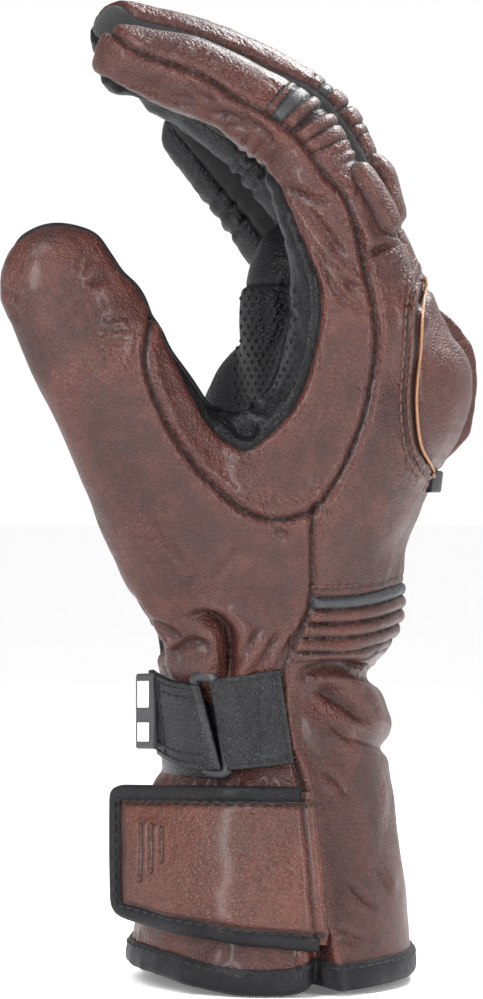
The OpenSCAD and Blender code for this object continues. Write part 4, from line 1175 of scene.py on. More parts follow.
def leather(deep, middle, bright, rough=(0.31, 0.5), grain=1.0, cell=900, coat=0.14, glow=None, shine_level=0.38):
    """Smooth full-grain leather: matt where it is taut, redder, glossier and crinkled where it has been worked."""
    def build(g):
        large = g.noise(48, 4, 0.6)
        patch = g.noise(85, 5, 0.6, 0.5)
        fine = g.noise(1300, 3, 0.6)
        worked = g.math("MAXIMUM", g.ramp(patch, (0.56, 0.0), (0.74, 0.6)), g.times(g.crinkle, 0.9))
        colour = g.ramp(g.math("ADD", g.times(large, 0.65), g.times(g.noise(260, 4), 0.35)),
                        (0.32, deep), (0.5, middle), (0.7, bright))
        if glow:
            colour = g.tint(colour, glow, worked, 0.6)
        pits = g.cells(cell)
        in_pit = g.ramp(pits, (0.0, 1.0), (0.14, 0.0))
        colour = g.tint(colour, tuple(0.5 * c for c in deep), in_pit, 0.4)
        colour = g.tint(colour, bright, g.ramp(fine, (0.4, 0.0), (0.8, 1.0)), 0.22)
        raised = g.ramp(g.level, (0.62, 0.0), (0.95, 1.0))
        colour = g.tint(colour, bright, raised, 0.3)
        # painted shade: seams, grooves and creases darkened in colour
        colour = g.tint(colour, tuple(0.08 * c for c in deep), g.dark, 0.88)
        g.put("Base Color", colour)
        shine = g.mix(worked, (rough[1],) * 3, (rough[0],) * 3)
        g.put("Roughness", g.math("ADD", g.math("ADD", shine, g.times(g.noise(700, 4), 0.12)),
                                  g.times(g.dark, 0.3), clamp=True))
        g.put("Specular IOR Level", shine_level)
        g.put("Coat Weight", coat)
        g.put("Coat Roughness", 0.2)
        # pebble grain, then crinkles that gather where the leather is worked
        n1 = g.bump(g.ramp(pits, (0.0, 0.0), (0.3, 1.0)), 0.0003, min(1.0, 0.55 * grain))
        folds = g.ramp(g.cells(430, g.warp(0.0011, 300, (1, 1, 0.6))), (0.0, 0.0), (0.3, 1.0))
        n2 = g.bump(folds, 0.0009, g.math("ADD", 0.03, g.times(worked, 0.6)), n1)
        n3 = g.bump(g.noise(230, 5, 0.65, 0.8), 0.0014, 0.28, n2)
        g.put("Normal", n3)
    return build


def weave(colour, light, scale=900, rough=0.85, sheen=0.35):
    """Cloth: two crossed waves, a soft nap and a little fluff."""
    def build(g):
        w1 = g.wave(scale * 0.5, 0.6, direction="X")
        w2 = g.wave(scale * 0.5, 0.6, direction="Z")
        cloth = g.times(w1, w2)
        tint = g.tint(colour, light, cloth, 0.8)
        tint = g.tint(tint, colour, g.noise(220, 4), 0.4)
        # base colour darkened by the painted shade in seams and grooves
        g.put("Base Color", g.tint(tint, (0.003, 0.003, 0.003), g.dark, 0.7))
        g.put("Roughness", g.ramp(g.noise(320), (0.3, rough - 0.1), (0.7, rough)))
        g.put("Sheen Weight", sheen)
        g.put("Sheen Roughness", 0.5)
        g.put("Normal", g.bump(g.noise(300, 5), 0.0004, 0.4, g.bump(cloth, 0.0002, 0.7)))
    return build


def plastic(colour, rough=0.38):
    """Moulded plastic or rubber, a little mottled."""
    def build(g):
        g.put("Base Color", g.tint(colour, tuple(c * 2.2 for c in colour), g.noise(400, 4), 0.3))
        g.put("Roughness", g.ramp(g.noise(600, 4), (0.3, rough), (0.7, rough + 0.15)))
        g.put("Normal", g.bump(g.noise(1800, 3), 0.00005, 0.5))
    return build


def thread(colour, light):
    """Twisted sewing thread."""
    def build(g):
        twist = g.wave(1900, 0.3, direction="DIAGONAL")
        g.put("Base Color", g.mix(twist, colour, light))
        g.put("Roughness", g.ramp(g.noise(900), (0.3, 0.5), (0.7, 0.7)))
        g.put("Normal", g.bump(twist, 0.00015, 0.6))
    return build


def metal(g):
    g.put("Base Color", g.mix(g.noise(500, 5), (0.26, 0.11, 0.055), (0.50, 0.26, 0.15)))
    g.put("Metallic", 0.55)
    g.put("Roughness", g.ramp(g.noise(700, 4), (0.3, 0.3), (0.7, 0.5)))
    g.put("Normal", g.bump(g.wave(1600, 0.4, direction="DIAGONAL"), 0.00012, 0.6))


RED = (0.088, 0.0165, 0.0095)
DARK_LEATHER = ((0.0022, 0.0022, 0.0027), (0.006, 0.006, 0.0072), (0.015, 0.015, 0.018))
MAT = {
    "brown": material("brown_leather", leather(
        (0.014, 0.0034, 0.0025), (0.039, 0.0094, 0.0066), (0.088, 0.0245, 0.017), glow=RED)),
    "flap": material("flap_leather", leather(
        (0.026, 0.006, 0.003), (0.060, 0.0145, 0.0075), (0.10, 0.028, 0.015), (0.24, 0.42), glow=RED)),
    "black": material("black_leather", leather(*DARK_LEATHER, (0.27, 0.45), 1.0, 950, 0.06, shine_level=0.18)),
    "grip": material("grip_leather", leather(*DARK_LEATHER, (0.35, 0.5), 1.6, 850, 0.03, shine_level=0.18)),
    "tape": material("binding_tape", leather(
        (0.003, 0.003, 0.0036), (0.007, 0.007, 0.0085), (0.014, 0.014, 0.017), (0.3, 0.45), 0.8, 1500, 0.04,
        shine_level=0.18)),
    "web_tape": material("strap_leather", leather(
        (0.0025, 0.0025, 0.003), (0.006, 0.0062, 0.0075), (0.015, 0.016, 0.019), (0.26, 0.36), 1.1, 1000, 0.12,
        shine_level=0.24)),
    "fabric": material("stretch_fabric", weave((0.003, 0.003, 0.0035), (0.012, 0.012, 0.014), 1500, 0.85, 0.15)),
    "lining": material("lining_cloth", weave((0.006, 0.006, 0.007), (0.03, 0.03, 0.033), 1000, 0.95)),
    "hooks": material("hook_tape", weave((0.004, 0.004, 0.005), (0.030, 0.030, 0.032), 2600, 0.8)),
    "accent": material("accent_rib", leather(
        (0.013, 0.0135, 0.015), (0.025, 0.026, 0.029), (0.046, 0.047, 0.052), (0.35, 0.5), 0.6, 1200, 0.1)),
    "plastic": material("buckle_plastic", plastic((0.012, 0.012, 0.0135))),
    "rubber": material("tag_rubber", plastic((0.022, 0.022, 0.024), 0.5)),
    "pale": material("tag_bars", plastic((0.62, 0.62, 0.64), 0.5)),
    "copper": material("copper_piping", metal),
    "brown_thread": material("brown_thread", thread((0.06, 0.022, 0.015), (0.16, 0.07, 0.05))),
    "black_thread": material("black_thread", thread((0.0012, 0.0012, 0.0015), (0.006, 0.006, 0.007))),
}
# Material of each panel, where it isn't the brown leather
SKIN_MAT = {"palm": "black", "side": "black", "thumb_palm": "black", "finger_palm": "black", "grip": "grip",
            "fabric": "fabric", "accent": "accent"}

# CAD nodes that the pieces of skin stand for
STANDS = {
    ("cuff", "back"): ["cuff_back_panel", "wrist_ribs", "wrist_sleeve"],
    ("cuff", "cuff_palm"): ["cuff_palm_panel", "cuff_gusset"],
    ("hand", "back"): ["hand_back_panel"], ("hand", "palm"): ["palm_panel"], ("hand", "grip"): ["palm_grip_patch"],
    ("hand", "web"): ["web_panel"], ("hand", "side"): ["hand_side_panel"],
    ("hand", "armour"): ["knuckle_shell", "knuckle_cover", "knuckle_foam"], ("hand", "accent"): ["wrist_accent_rib"],
}
for name in FINGERS + ["thumb"]:
    kind = "thumb_" if name == "thumb" else "finger_"
    for face in ("back", "palm"):
        STANDS[name + "_root", kind + face] = [name + "_base_" + face]
        STANDS[name + "_end", kind + face] = [name + "_tip_" + face]
for name in FINGERS:
    STANDS[name + "_end", "finger_back"] += [name + "_ribs", name + "_pad"]
for a, b in zip(FINGERS, FINGERS[1:]):
    STANDS[a + "_root", "fabric"] = [a + "_" + b + "_fourchette"]

panel, own = panel_of()
zones = zone_of(base[tris].mean(1), own)
# shading values: painted shade of seams, grooves and creases, crinkle, and relief height
skin_shade = np.stack([M["dark"], M["crinkle"], np.clip(0.5 + M["h"] / 4, 0, 1)], 1)
SLIVER = 12                                       # fewest triangles in a piece
for zk in np.unique(zones):
    for pk in np.unique(panel[zones == zk]):
        rows = (zones == zk) & (panel == pk)
        if rows.sum() < SLIVER:
            # slivers join the panel beside them
            rest = (zones == zk) & (panel != pk)
            panel[rows] = np.bincount(panel[rest]).argmax()
for zk in np.unique(zones):
    for pk in np.unique(panel[zones == zk]):
        rows = (zones == zk) & (panel == pk)
        zone, label = ZONES[zk][0], PANELS[pk]
        name = zone + "_" + label
        mat = SKIN_MAT.get(label, "brown")
        ob = place(name, mesh_of(name, skin, tris[rows], skin_n, skin_shade), int(zk), MAT[mat],
                   STANDS.get((zone, label), ()))

# ---- Straps, bindings, piping and stitches ----------------------------------------------

tree = BVHTree.FromPolygons(skin.tolist(), tris.tolist())


def on_near(q, lift=0.0):
    """Places on the skin behind points seen from the thumb side, and the normals there."""
    out, nor = [], []
    for x, z in np.asarray(q, float):
        way = unit(np.array([x, 0, z]) - EYE)
        hit, n, *_ = tree.ray_cast(Vector(EYE), Vector(way))
        if hit is None:
            hit, n, *_ = tree.find_nearest(Vector((x, -20, z)))
        out.append(np.array(hit)); nor.append(np.array(n))
    out, nor = np.array(out), np.array(nor)
    nor = unit(smoothed(nor, 2))
    return out + nor * lift, nor


def smoothed(a, times):
    a = np.array(a, float)
    for _ in range(times):
        a[1:-1] = 0.25 * a[:-2] + 0.5 * a[1:-1] + 0.25 * a[2:]
    return a


def oval(v, z, lift=0.0):
    """Point and outward normal at an angle round the smooth body of the glove."""
    v, z = np.broadcast_arrays(np.asarray(v, float), np.asarray(z, float))
    shape = v.shape
    v, z = np.radians(v.ravel()), z.ravel()
    cx, a, b, arch, n = curve_at(TORSO, z)
    s = (np.abs(np.cos(v)) ** n + np.abs(np.sin(v)) ** n) ** (-1 / n)
    y = b * s * np.sin(v)
    p = np.stack([cx - arch * (y - ARCH_Y) ** 2 + a * s * np.cos(v), y, z], 1)
    nor = unit(np.stack([np.cos(v) / a, np.sin(v) / b, 0 * v], 1))
    return (p + nor * lift).reshape(*shape, 3), nor.reshape(*shape, 3)


def out_to_skin(v, z):
    """Places where a ray from the middle at angle v leaves the skin, and its directions."""
    pts, ways = [], []
    for a, h in zip(np.asarray(v, float), np.broadcast_to(z, np.shape(v))):
        target, _ = oval(a, h)
        cx = curve_at(TORSO, np.array([h]))[0][0]
        origin = np.array([cx, 0, h])
        way = unit(target - origin)
        hit, *_ = tree.ray_cast(Vector(origin), Vector(way))
        pts.append(np.array(hit) if hit is not None else target); ways.append(way)
    return np.array(pts), np.array(ways)


def sweep(points, normal, profile, closed=False, side=None):
    """A tube along points. The profile has (along the side, along the normal) rows, or one such table per point."""
    p = np.asarray(points, float)
    n = len(p)
    along = np.roll(p, -1, 0) - np.roll(p, 1, 0) if closed else np.gradient(p, axis=0)
    along = unit(along + 1e-12)
    if side is None:
        side = unit(np.cross(along, normal))
    normal = unit(np.cross(side, along))
    profile = np.asarray(profile, float)
    if profile.ndim == 2:
        profile = np.tile(profile, (n, 1, 1))
    k = profile.shape[1]
    verts = (p[:, None] + profile[:, :, :1] * side[:, None] + profile[:, :, 1:2] * normal[:, None]).reshape(-1, 3)
    rows = np.arange(n if closed else n - 1)
    i = rows[:, None] * k + np.arange(k)[None]
    j = rows[:, None] * k + (np.arange(k)[None] + 1) % k
    up = lambda t: (t + k) % (n * k)
    faces = np.concatenate([np.stack([i, up(i), j], -1).reshape(-1, 3),
                            np.stack([j, up(i), up(j)], -1).reshape(-1, 3)])
    if not closed:
        m = len(verts)
        verts = np.vstack([verts, profile[0].mean(0)[0] * side[:1] + profile[0].mean(0)[1] * normal[:1] + p[:1],
                           profile[-1].mean(0)[0] * side[-1:] + profile[-1].mean(0)[1] * normal[-1:] + p[-1:]])
        c = np.arange(k)
        faces = np.vstack([faces, np.stack([np.full(k, m), c, (c + 1) % k], 1),
                           np.stack([np.full(k, m + 1), (n - 1) * k + (c + 1) % k, (n - 1) * k + c], 1)])
    return outwards(verts, faces)


def outwards(verts, faces, middle=0.0):
    """Turns the faces of a closed shape outwards."""
    if np.sum((verts[faces].mean(1) - middle) * face_normals(verts, faces)) < 0:
        faces = faces[:, ::-1]
    return verts, np.ascontiguousarray(faces)


def circle(r, k=10, squash=1.0):
    t = np.linspace(0, 2 * math.pi, k, endpoint=False)
    return np.stack([r * np.cos(t), r * squash * np.sin(t)], 1)


def slab(half, thick, k=7, corner=0.6):
    """Closed outline of a flat tape: `half` to each side, from 0 up to `thick`."""
    c = min(corner, thick / 2)
    t = np.linspace(0, math.pi / 2, 4)
    right = [(half - c + c * math.cos(a), thick - c + c * math.sin(a)) for a in t]
    top = [(x, thick) for x in np.linspace(half - c, -half + c, k)[1:-1]]
    left = [(-half + c - c * math.sin(a), thick - c + c * math.cos(a)) for a in t]
    low = [(-half + c - c * math.cos(a), c - c * math.sin(a)) for a in t]
    bottom = [(x, 0) for x in np.linspace(-half + c, half - c, k)[1:-1]]
    low2 = [(half - c + c * math.sin(a), c - c * math.cos(a)) for a in t]
    return np.array(right + top + left + low + bottom + low2)


def joined(parts):
    verts, faces, n = [], [], 0
    for v, f in parts:
        verts.append(v); faces.append(f + n); n += len(v)
    return np.vstack(verts), np.vstack(faces)


def stitches(points, normals, pitch=3.1, long=2.3, r=0.34, sink=0.1):
    """A row of stitches along a path: short capsules, slightly sunk at their ends."""
    pn = even(np.hstack([points, normals]), pitch)
    p, nor = pn[:, :3], unit(pn[:, 3:])
    along = unit(np.gradient(p, axis=0))
    parts = []
    t = np.array([-1, -0.93, -0.7, 0, 0.7, 0.93, 1.0])
    width = np.array([0.25, 0.62, 0.92, 1, 0.92, 0.62, 0.25])
    for c, w, a in zip(p, nor, along):
        line = c + np.outer(t, a) * long / 2 + np.outer(0.5 * r * (1 - t ** 2) - sink, w)
        ring = np.array([circle(r * s, 6) for s in width])
        parts.append(sweep(line, np.tile(w, (len(t), 1)), ring))
    return joined(parts)


def add(name, geometry, material, body=None, nodes=(), shade=None):
    """Adds a piece that rides on a body or, without one, is split by the zones that its faces lie in."""
    points, faces = geometry
    normals = point_normals(points, faces)
    if body is not None:
        place(name, mesh_of(name, points, faces, normals, shade), body, MAT[material], nodes)
        return
    zones = zone_of(points[faces].mean(1))
    for k in np.unique(zones):
        full = name + "_" + ZONES[k][0]
        place(full, mesh_of(full, points, faces[zones == k], normals, shade), int(k), MAT[material])
    if nodes:
        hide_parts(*nodes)


def near_row(name, line, lift, **kw):
    """Brown stitches along a line that is drawn from the thumb side."""
    p, n = on_near(even(smooth_path(line, 120), 1.2), lift)
    p = smoothed(p, 2)
    add(name, stitches(p, n, **kw), "brown_thread")


def offset_line(line, d):
    """A line drawn d to the left of another."""
    line = np.asarray(line, float)
    a = unit(np.gradient(line, axis=0))
    return line + d * np.stack([-a[:, 1], a[:, 0]], 1)


# hem binding: a tape folded round the edge, laid out from four rows of points above the edge
v = np.concatenate([np.arange(-180, -92, 2.0), np.arange(-92, -50, 0.7), np.arange(-50, 180, 2.0)])
foot = hem_z(oval(v, np.full(len(v), 8.0))[0])
rows, ways = zip(*(out_to_skin(v, foot + h) for h in (6.0, 4.4, 2.6, 0.7)))
w = ways[0]
down = np.array([0, 0, -1.0])
outline = [p + w * lift for p, lift in zip(rows, (0.75, 1.25, 1.3, 1.15))]
for p, out, drop in ((rows[3], 0.9, 1.0), (rows[3], 0.1, 1.75), (rows[3], -1.1, 1.75), (rows[3], -2.0, 1.0),
                     (rows[2], -2.5, 0), (rows[0], -2.5, 0), (rows[0], -1.4, 0), (rows[0], 0.1, 0)):
    outline.append(p + w * out + down * drop)
grid = np.stack(outline, 1)                       # along, round the tape
grid = 0.25 * np.roll(grid, 1, 0) + 0.5 * grid + 0.25 * np.roll(grid, -1, 0)


def closed_grid(grid):
    """A ring from rows of points that join up both ways."""
    n_a, n_k = grid.shape[:2]
    a = (np.arange(n_a)[:, None] * n_k + np.arange(n_k)[None])
    b, c = np.roll(a, -1, 0), np.roll(a, -1, 1)
    d = np.roll(b, -1, 1)
    faces = np.concatenate([np.stack([a, b, c], -1).reshape(-1, 3), np.stack([c, b, d], -1).reshape(-1, 3)])
    return outwards(grid.reshape(-1, 3), faces)


add("hem_binding", closed_grid(grid), "tape", "cuff", ["cuff_hem_binding"])
row = grid[:, 1] * 0.75 + grid[:, 0] * 0.25
hem_rows = [np.vstack([a, a[:1]]) for a in (row, w)]
add("hem_stitches", stitches(*hem_rows, pitch=3.4, long=2.4, r=0.32), "black_thread", "cuff")

# lining: the inside of the cuff and the hand
inner = (own == HAND) & (base[tris].mean(1)[:, 2] < 150)
f = tris[inner][:, ::-1]
deep = skin - skin_n * 1.5
low = deep[f].mean(1)[:, 2] < CUFF_TOP
for name, rows, zone, node in (("lining_cuff", low, ZONE["cuff"], "cuff_lining"),
                               ("lining_hand", ~low, "hand", "hand_lining")):
    me = mesh_of(name, deep, np.ascontiguousarray(f[rows]), -skin_n)
    place(name, me, zone, MAT["lining"], [node])

# flap: hugs the cuff, then stands straight out towards its free end

def flap_point(x, z, lift=0.0):
    """Point of the flap seen at (x, z), and its normal."""
    x, z = np.asarray(x, float), np.asarray(z, float)
    zz = np.clip(z, 20, 55)

    def y_at(x):
        cx, a, b, _, n = curve_at(TORSO, zz)
        u = (x - cx) / a
        lim = -0.70
        inside_u = np.clip(u, lim, 1)
        y = -b * (1 - np.abs(inside_u) ** n) ** (1 / n)
        slope = b / a * (1 - np.abs(lim) ** n) ** (1 / n - 1) * np.abs(lim) ** (n - 1)
        return y + np.clip(lim - u, 0, 9) * a * slope * 0.94
    k = (y_at(x) - EYE[1]) / -EYE[1]
    xw = EYE[0] + (x - EYE[0]) * k
    zw = EYE[2] + (z - EYE[2]) * k
    y = y_at(xw)
    e = 0.5
    d = (y_at(xw + e) - y_at(xw - e)) / (2 * e)
    nor = unit(np.stack([d, -np.ones_like(d), 0 * d], -1))
    bow = 0.5 * np.sin((z - 16) / 42 * math.pi)
    p = np.stack([xw, y, zw], -1) + nor * (2.9 + bow + np.asarray(lift))[..., None]
    return p, nor


def corner(a, b, c, r, n=6):
    """Rounds corner b of a path a-b-c."""
    a, b, c = map(np.array, (a, b, c))
    p, q = b + unit(a - b) * r, b + unit(c - b) * r
    t = np.linspace(0, 1, n)[:, None]
    return (1 - t) ** 2 * p + 2 * t * (1 - t) * b + t * t * q


TL, BL = (-41.2, 59.0), (-40.6, 23.6)
flap_edge = np.vstack([
    [(8.4, 58.35)], [(-10, 58.6)], corner((-10, 58.6), TL, BL, 3.6), corner(TL, BL, (-23.7, 18.4), 4.2),
    [(-23.7, 18.6), (-6.9, 15.3), (5, 14.2), (12.6, 13.6)]])
flap_line = even(flap_edge, 0.9)
p, n = flap_point(flap_line[:, 0], flap_line[:, 1])
way_in = offset_line(flap_line, 1.0) - flap_line
p_in, _ = flap_point(flap_line[:, 0] + way_in[:, 0], flap_line[:, 1] + way_in[:, 1])
side = unit(smoothed(p_in - p, 2))
TAPE = np.array([(-0.3, 0.6), (0.0, 1.35), (0.9, 1.95), (2.4, 2.1), (4.0, 2.0), (4.8, 1.6), (4.9, 0.9),
                 (4.2, -0.9), (2.4, -1.1), (0.9, -1.0), (0.0, -0.4)])
add("flap_binding", sweep(p, n, TAPE, side=side), "tape", "flap", ["flap_binding"])
add("flap_binding_stitches", stitches(p + side * 3.9 + n * 2.05, n, pitch=3.3, long=2.3, r=0.32),
    "black_thread", "flap")

# leather of the flap: rows from right to left, with three pressed lines
cols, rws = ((130, 100))
u = np.linspace(0, 1, cols)[:, None] * np.ones((1, rws))
t = np.ones((cols, 1)) * np.linspace(0, 1, rws)[None]
low_at = lambda x: np.interp(x, [-40.6, -23.7, -6.9, 14.7], [23.9, 18.9, 15.6, 13.6])
right = 11.3 + (15.0 - 11.3) * (1 - t)
x = right + (-39.6 - right) * u
z = (low_at(x) + 1.6) + (57.2 - low_at(x) - 1.6) * t
q = np.stack([x.ravel(), z.ravel()], 1)
relief_h = np.zeros(len(q)); flap_painted_shade = np.zeros(len(q))
for line in ([(-31.2, 48.4), (-31.2, 33.4)], [(-28.4, 48.3), (-28.4, 35.6)], [(-25.6, 47.4), (-25.6, 38.4)]):
    d, _ = to_line(q, line)
    relief_h += -0.75 * bell(d, 0.55) + 0.45 * bell(np.abs(d) - 1.15, 0.5)
    # painted shade along the bottom of each pressed line
    flap_painted_shade = np.maximum(flap_painted_shade, 0.6 * bell(d, 0.5))
edge_d, _ = to_line(q, flap_line)
relief_h += (0.7 * step(np.abs(edge_d), 4.2, 6.0) - 1.3 * (1 - step(np.abs(edge_d), 2.6, 4.6))
             + 0.28 * noise(np.stack([q[:, 0], q[:, 1], 0 * q[:, 0]], 1), 9))
hinge_d = (right - x).ravel()
relief_h += -0.7 * bell(hinge_d - 3.0, 0.6) + 0.35 * bell(hinge_d - 1.3, 1.1) + 0.3 * bell(hinge_d - 5, 1.2)
# painted shade in the hinge groove and at the binding's edge
flap_painted_shade = np.maximum(flap_painted_shade, 0.7 * bell(hinge_d - 3.0, 0.5))
flap_painted_shade = np.maximum(flap_painted_shade, 0.8 * bell(np.abs(edge_d) - 4.9, 0.6))
top, nn = flap_point(x.ravel(), z.ravel(), 1.0 + relief_h)
under, _ = flap_point(x.ravel(), z.ravel(), -0.4 + 0 * relief_h)


def two_sided(top, under, cols, rws):
    """A closed sheet from its upper and lower grids."""
    i = np.arange(cols * rws).reshape(cols, rws)
    a, b, c, d = i[:-1, :-1], i[1:, :-1], i[:-1, 1:], i[1:, 1:]
    up = np.concatenate([np.stack([a, b, c], -1).reshape(-1, 3), np.stack([c, b, d], -1).reshape(-1, 3)])
    m = cols * rws
    rim = np.concatenate([i[:-1, 0], i[-1, :-1], i[:0:-1, -1], i[0, :0:-1]])
    nxt = np.roll(rim, -1)
    wall = np.concatenate([np.stack([rim, rim + m, nxt], 1), np.stack([nxt, rim + m, nxt + m], 1)])
    faces = np.vstack([up, up[:, ::-1] + m, wall])
    verts = np.vstack([top, under])
    return outwards(verts, faces, verts.mean(0))


# the top sheet carries the painted shade; both sheets a little crinkle
shade = np.zeros((2 * len(flap_painted_shade), 3)); shade[:len(flap_painted_shade), 0] = flap_painted_shade; shade[:, 1] = 0.3
flap_geo = two_sided(top, under, cols, rws)
add("flap_leather", flap_geo, "flap", "flap", ["flap_panel"], shade)
keep_u = (u > 0.22) & (u < 0.94) & (t > 0.16) & (t < 0.84)
ii = np.arange(cols * rws).reshape(cols, rws)
c0, c1 = np.nonzero(keep_u.any(1))[0][[0, -1]]
r0, r1 = np.nonzero(keep_u.any(0))[0][[0, -1]]
sub = ii[c0:c1 + 1, r0:r1 + 1]
p, n = under[sub.ravel()], nn[sub.ravel()]
hook_low = p - n * (0.8 + 0.15 * noise(p, 1.2))[:, None]
add("flap_hooks", two_sided(p + n * 0.1, hook_low, *sub.shape), "hooks", "flap",
    ["flap_hook_patch"])

# soft loops on the cuff, under the flap
lv, lz = np.meshgrid(np.linspace(-168, -102, 70), np.linspace(24, 51, 30), indexing="ij")
lp, ln = (a.reshape(-1, 3) for a in oval(lv, lz))
loop_top = lp + ln * (1.2 + 0.2 * noise(lp, 1.5))[:, None]
add("cuff_loops", two_sided(loop_top, lp - ln * 0.6, *lv.shape), "hooks", "cuff",
    ["cuff_loop_patch"])

# wrist strap
def v_at(x, z):
    """Angle round the strap where a point is seen at x."""
    a = np.linspace(-20, -179, 320)
    s = seen(oval(a, np.full(len(a), float(z)), 2.0)[0])[:, 0]
    return float(np.interp(-x, -s, a))


def band(v0, v1, low, high, lift, thick, n=60, slant=(0, 0)):
    """A tape round the wrist from angle v0 to v1; low, high and lift may be tables over 0-1 along it.

    Gives its geometry and, at each row, its middle, outward normal, upward direction and half width."""
    s = np.linspace(0, 1, n)
    lo, hi, up = (np.full(n, f) if np.isscalar(f) else np.interp(s, *zip(*f)) for f in (low, high, lift))
    v = v0 + (v1 - v0) * s
    mid, half = (lo + hi) / 2, (hi - lo) / 2
    p, nor = oval(v, mid)
    # follow the cone of the cuff a little
    a, _ = oval(v, mid + 8); b, _ = oval(v, mid - 8)
    tall = unit(a - b)
    nor = unit(np.cross(np.cross(tall, nor), tall))
    ahead = unit(np.cross(tall, nor))
    p = p + nor * up[:, None]
    # the ends may be cut at a slant
    lean = np.interp(s, [0, 0.25, 0.75, 1], [slant[0], 0, 0, slant[1]])
    tilted = unit(tall + ahead * lean[:, None])
    half = half * np.linalg.norm(tall + ahead * lean[:, None], axis=1)
    prof = np.array([slab(h, thick, 13, 0.5) for h in half])
    return sweep(p, nor, prof, side=tilted), p, nor, tilted, half


STRAP_THREAD = {"pitch": 2.9, "long": 2.1, "r": 0.3}
ON_STRAP = 2.0                                    # height of its stitches over the strap's middle


def stitch_along(tape, inset, sign, rows):
    """Stitches along the upper (+1) or lower (-1) edge of a tape, over some of its rows."""
    p, nor, tall, half = tape
    line = p + tall * (half - inset)[:, None] * sign + nor * ON_STRAP
    return stitches(line[rows], nor[rows], **STRAP_THREAD)


def stitch_across(tape, i, reach):
    """Stitches across a tape at row i."""
    p, nor, tall, half = (a[i] for a in tape)
    line = p + np.outer(np.linspace(-reach, reach, 20), tall) * half + nor * ON_STRAP
    return stitches(line, np.tile(nor, (20, 1)), **STRAP_THREAD)


geo, *_ = band(100, 244, 62.8, 89.4, 0.9, 1.4, 90)
add("strap_inner", geo, "web_tape", "cuff", ["strap_band"])
v_a, v_b = v_at(5.2, 77), v_at(-12.2, 77)
geo, *tape = band(v_a, v_b, [(0, 67.2), (1, 65.5)], [(0, 92.5), (1, 90.1)],
                  [(0, 0.9), (0.4, 2.0), (0.75, 3.6), (1, 3.2)], 1.9, 50, slant=(0, -0.12))
add("keeper", geo, "web_tape", "cuff", ["buckle_keeper"])
parts = [stitch_along(tape, 1.6, sign, slice(None, -12)) for sign in (-1, 1)] + [stitch_across(tape, 3, 0.86)]
p, nor, tall, half = tape
for last in (34, 16):                             # two diagonals that make a cross
    idx = np.linspace(24, last, 24).astype(int)
    w_off = np.linspace(-0.84, 0.84, 24)
    line = p[idx] + tall[idx] * (half[idx] * w_off)[:, None] + nor[idx] * ON_STRAP
    parts.append(stitches(line, nor[idx], **STRAP_THREAD))
add("keeper_stitches", joined(parts), "black_thread", "cuff")

# buckle: a rounded plastic frame, thicker at its top and bottom bars
v_mid = v_at(-14.6, 76)
pm, nm = oval(v_mid, 77.5)
sm = unit(np.cross(nm, [0, 0, 1.0]))
if seen((pm + sm)[None])[0, 0] < seen(pm[None])[0, 0]:
    sm = -sm
sm = unit(sm * 0.97 + nm * -0.02)
frame_line = []
W, H, R = 3.3, 12.9, 2.0                          # half width, half height and corner radius
t = np.linspace(0, math.pi / 2, 7)
for cx_, cz_, turn in ((W - R, H - R, 0), (-W + R, H - R, 1), (-W + R, -H + R, 2), (W - R, -H + R, 3)):
    frame_line += [(cx_ + R * math.cos(turn * math.pi / 2 + a), cz_ + R * math.sin(turn * math.pi / 2 + a)) for a in t]
frame_line = even(frame_line + frame_line[:1], 1.0)[:-1]
fx, fz = frame_line.T
ring = (pm + np.outer(fx - 0.13 * fz, sm) + np.outer(fz, [0, 0, 1.0]) + np.outer(3.7 + 0.06 * fz, nm))
ring = ring + np.outer(-0.012 * fx ** 2, nm)
prof = np.array([circle(1.45 + 0.25 * bar, 12, 0.8) for bar in np.abs(fz) > H - R])
add("buckle_ring", sweep(ring, np.tile(nm, (len(ring), 1)), prof, closed=True), "plastic",
    "buckle", ["strap_buckle"])

# tail of the strap, folded back through the ring, and its rubber tag
v_c, v_d = v_at(-14.6, 77), -154.0
rise = [(0, 65.4), (0.5, 66.2), (1, 68.8)]
rise_top = [(0, 88.3), (0.5, 89.3), (1, 91.8)]
geo, *tape = band(v_c, v_d, rise, rise_top, [(0, 3.4), (0.12, 4.2), (1, 3.0)], 1.9, 60, slant=(-0.2, 0))
add("strap_tail", geo, "web_tape", "strap_end", ["strap_tail"])
parts = [stitch_along(tape, inset, sign, slice(10, None)) for sign in (-1, 1) for inset in (1.7, 4.0)]
parts.append(stitch_across(tape, 44, 0.8))
add("tail_stitches", joined(parts), "black_thread", "strap_end")
v_e, TAG_HALF = -149.0, 10.2                      # angle where the tag starts, and half its height
start, nor = oval(v_e, 80.4, 4.95)
ahead = unit(np.cross(nor, unit(oval(v_e, 88.0)[0] - oval(v_e, 72.0)[0])))
ahead = ahead * (1 if ahead[0] < 0 else -1)
reach = even(np.array([start - 0.4 * ahead, start + 10.2 * ahead]), 0.5)
k = len(reach)
out = np.cross(ahead, [0, 0, 1.0])
nor = np.tile(unit(-out * np.sign(out[1])), (k, 1))
tall = np.array([0.0, 0, 1])
add("tag", sweep(reach, nor, slab(TAG_HALF, 1.6, 13, 0.7), side=np.tile(tall, (k, 1))), "rubber",
    "strap_end", ["strap_tag"])
parts = []
i = int(0.52 * k)
along = unit(reach[i + 1] - reach[i])
for w0, w1 in ((0.1, 0.8), (-0.8, -0.3)):
    line = reach[i] + np.outer(np.linspace(w0, w1, 14), tall) * TAG_HALF + nor[i] * 1.55
    parts.append(sweep(line, np.tile(nor[i], (14, 1)), slab(3.5, 0.4, 5, 0.2), side=np.tile(-along, (14, 1))))
add("tag_ridges", joined(parts), "pale", "strap_end")

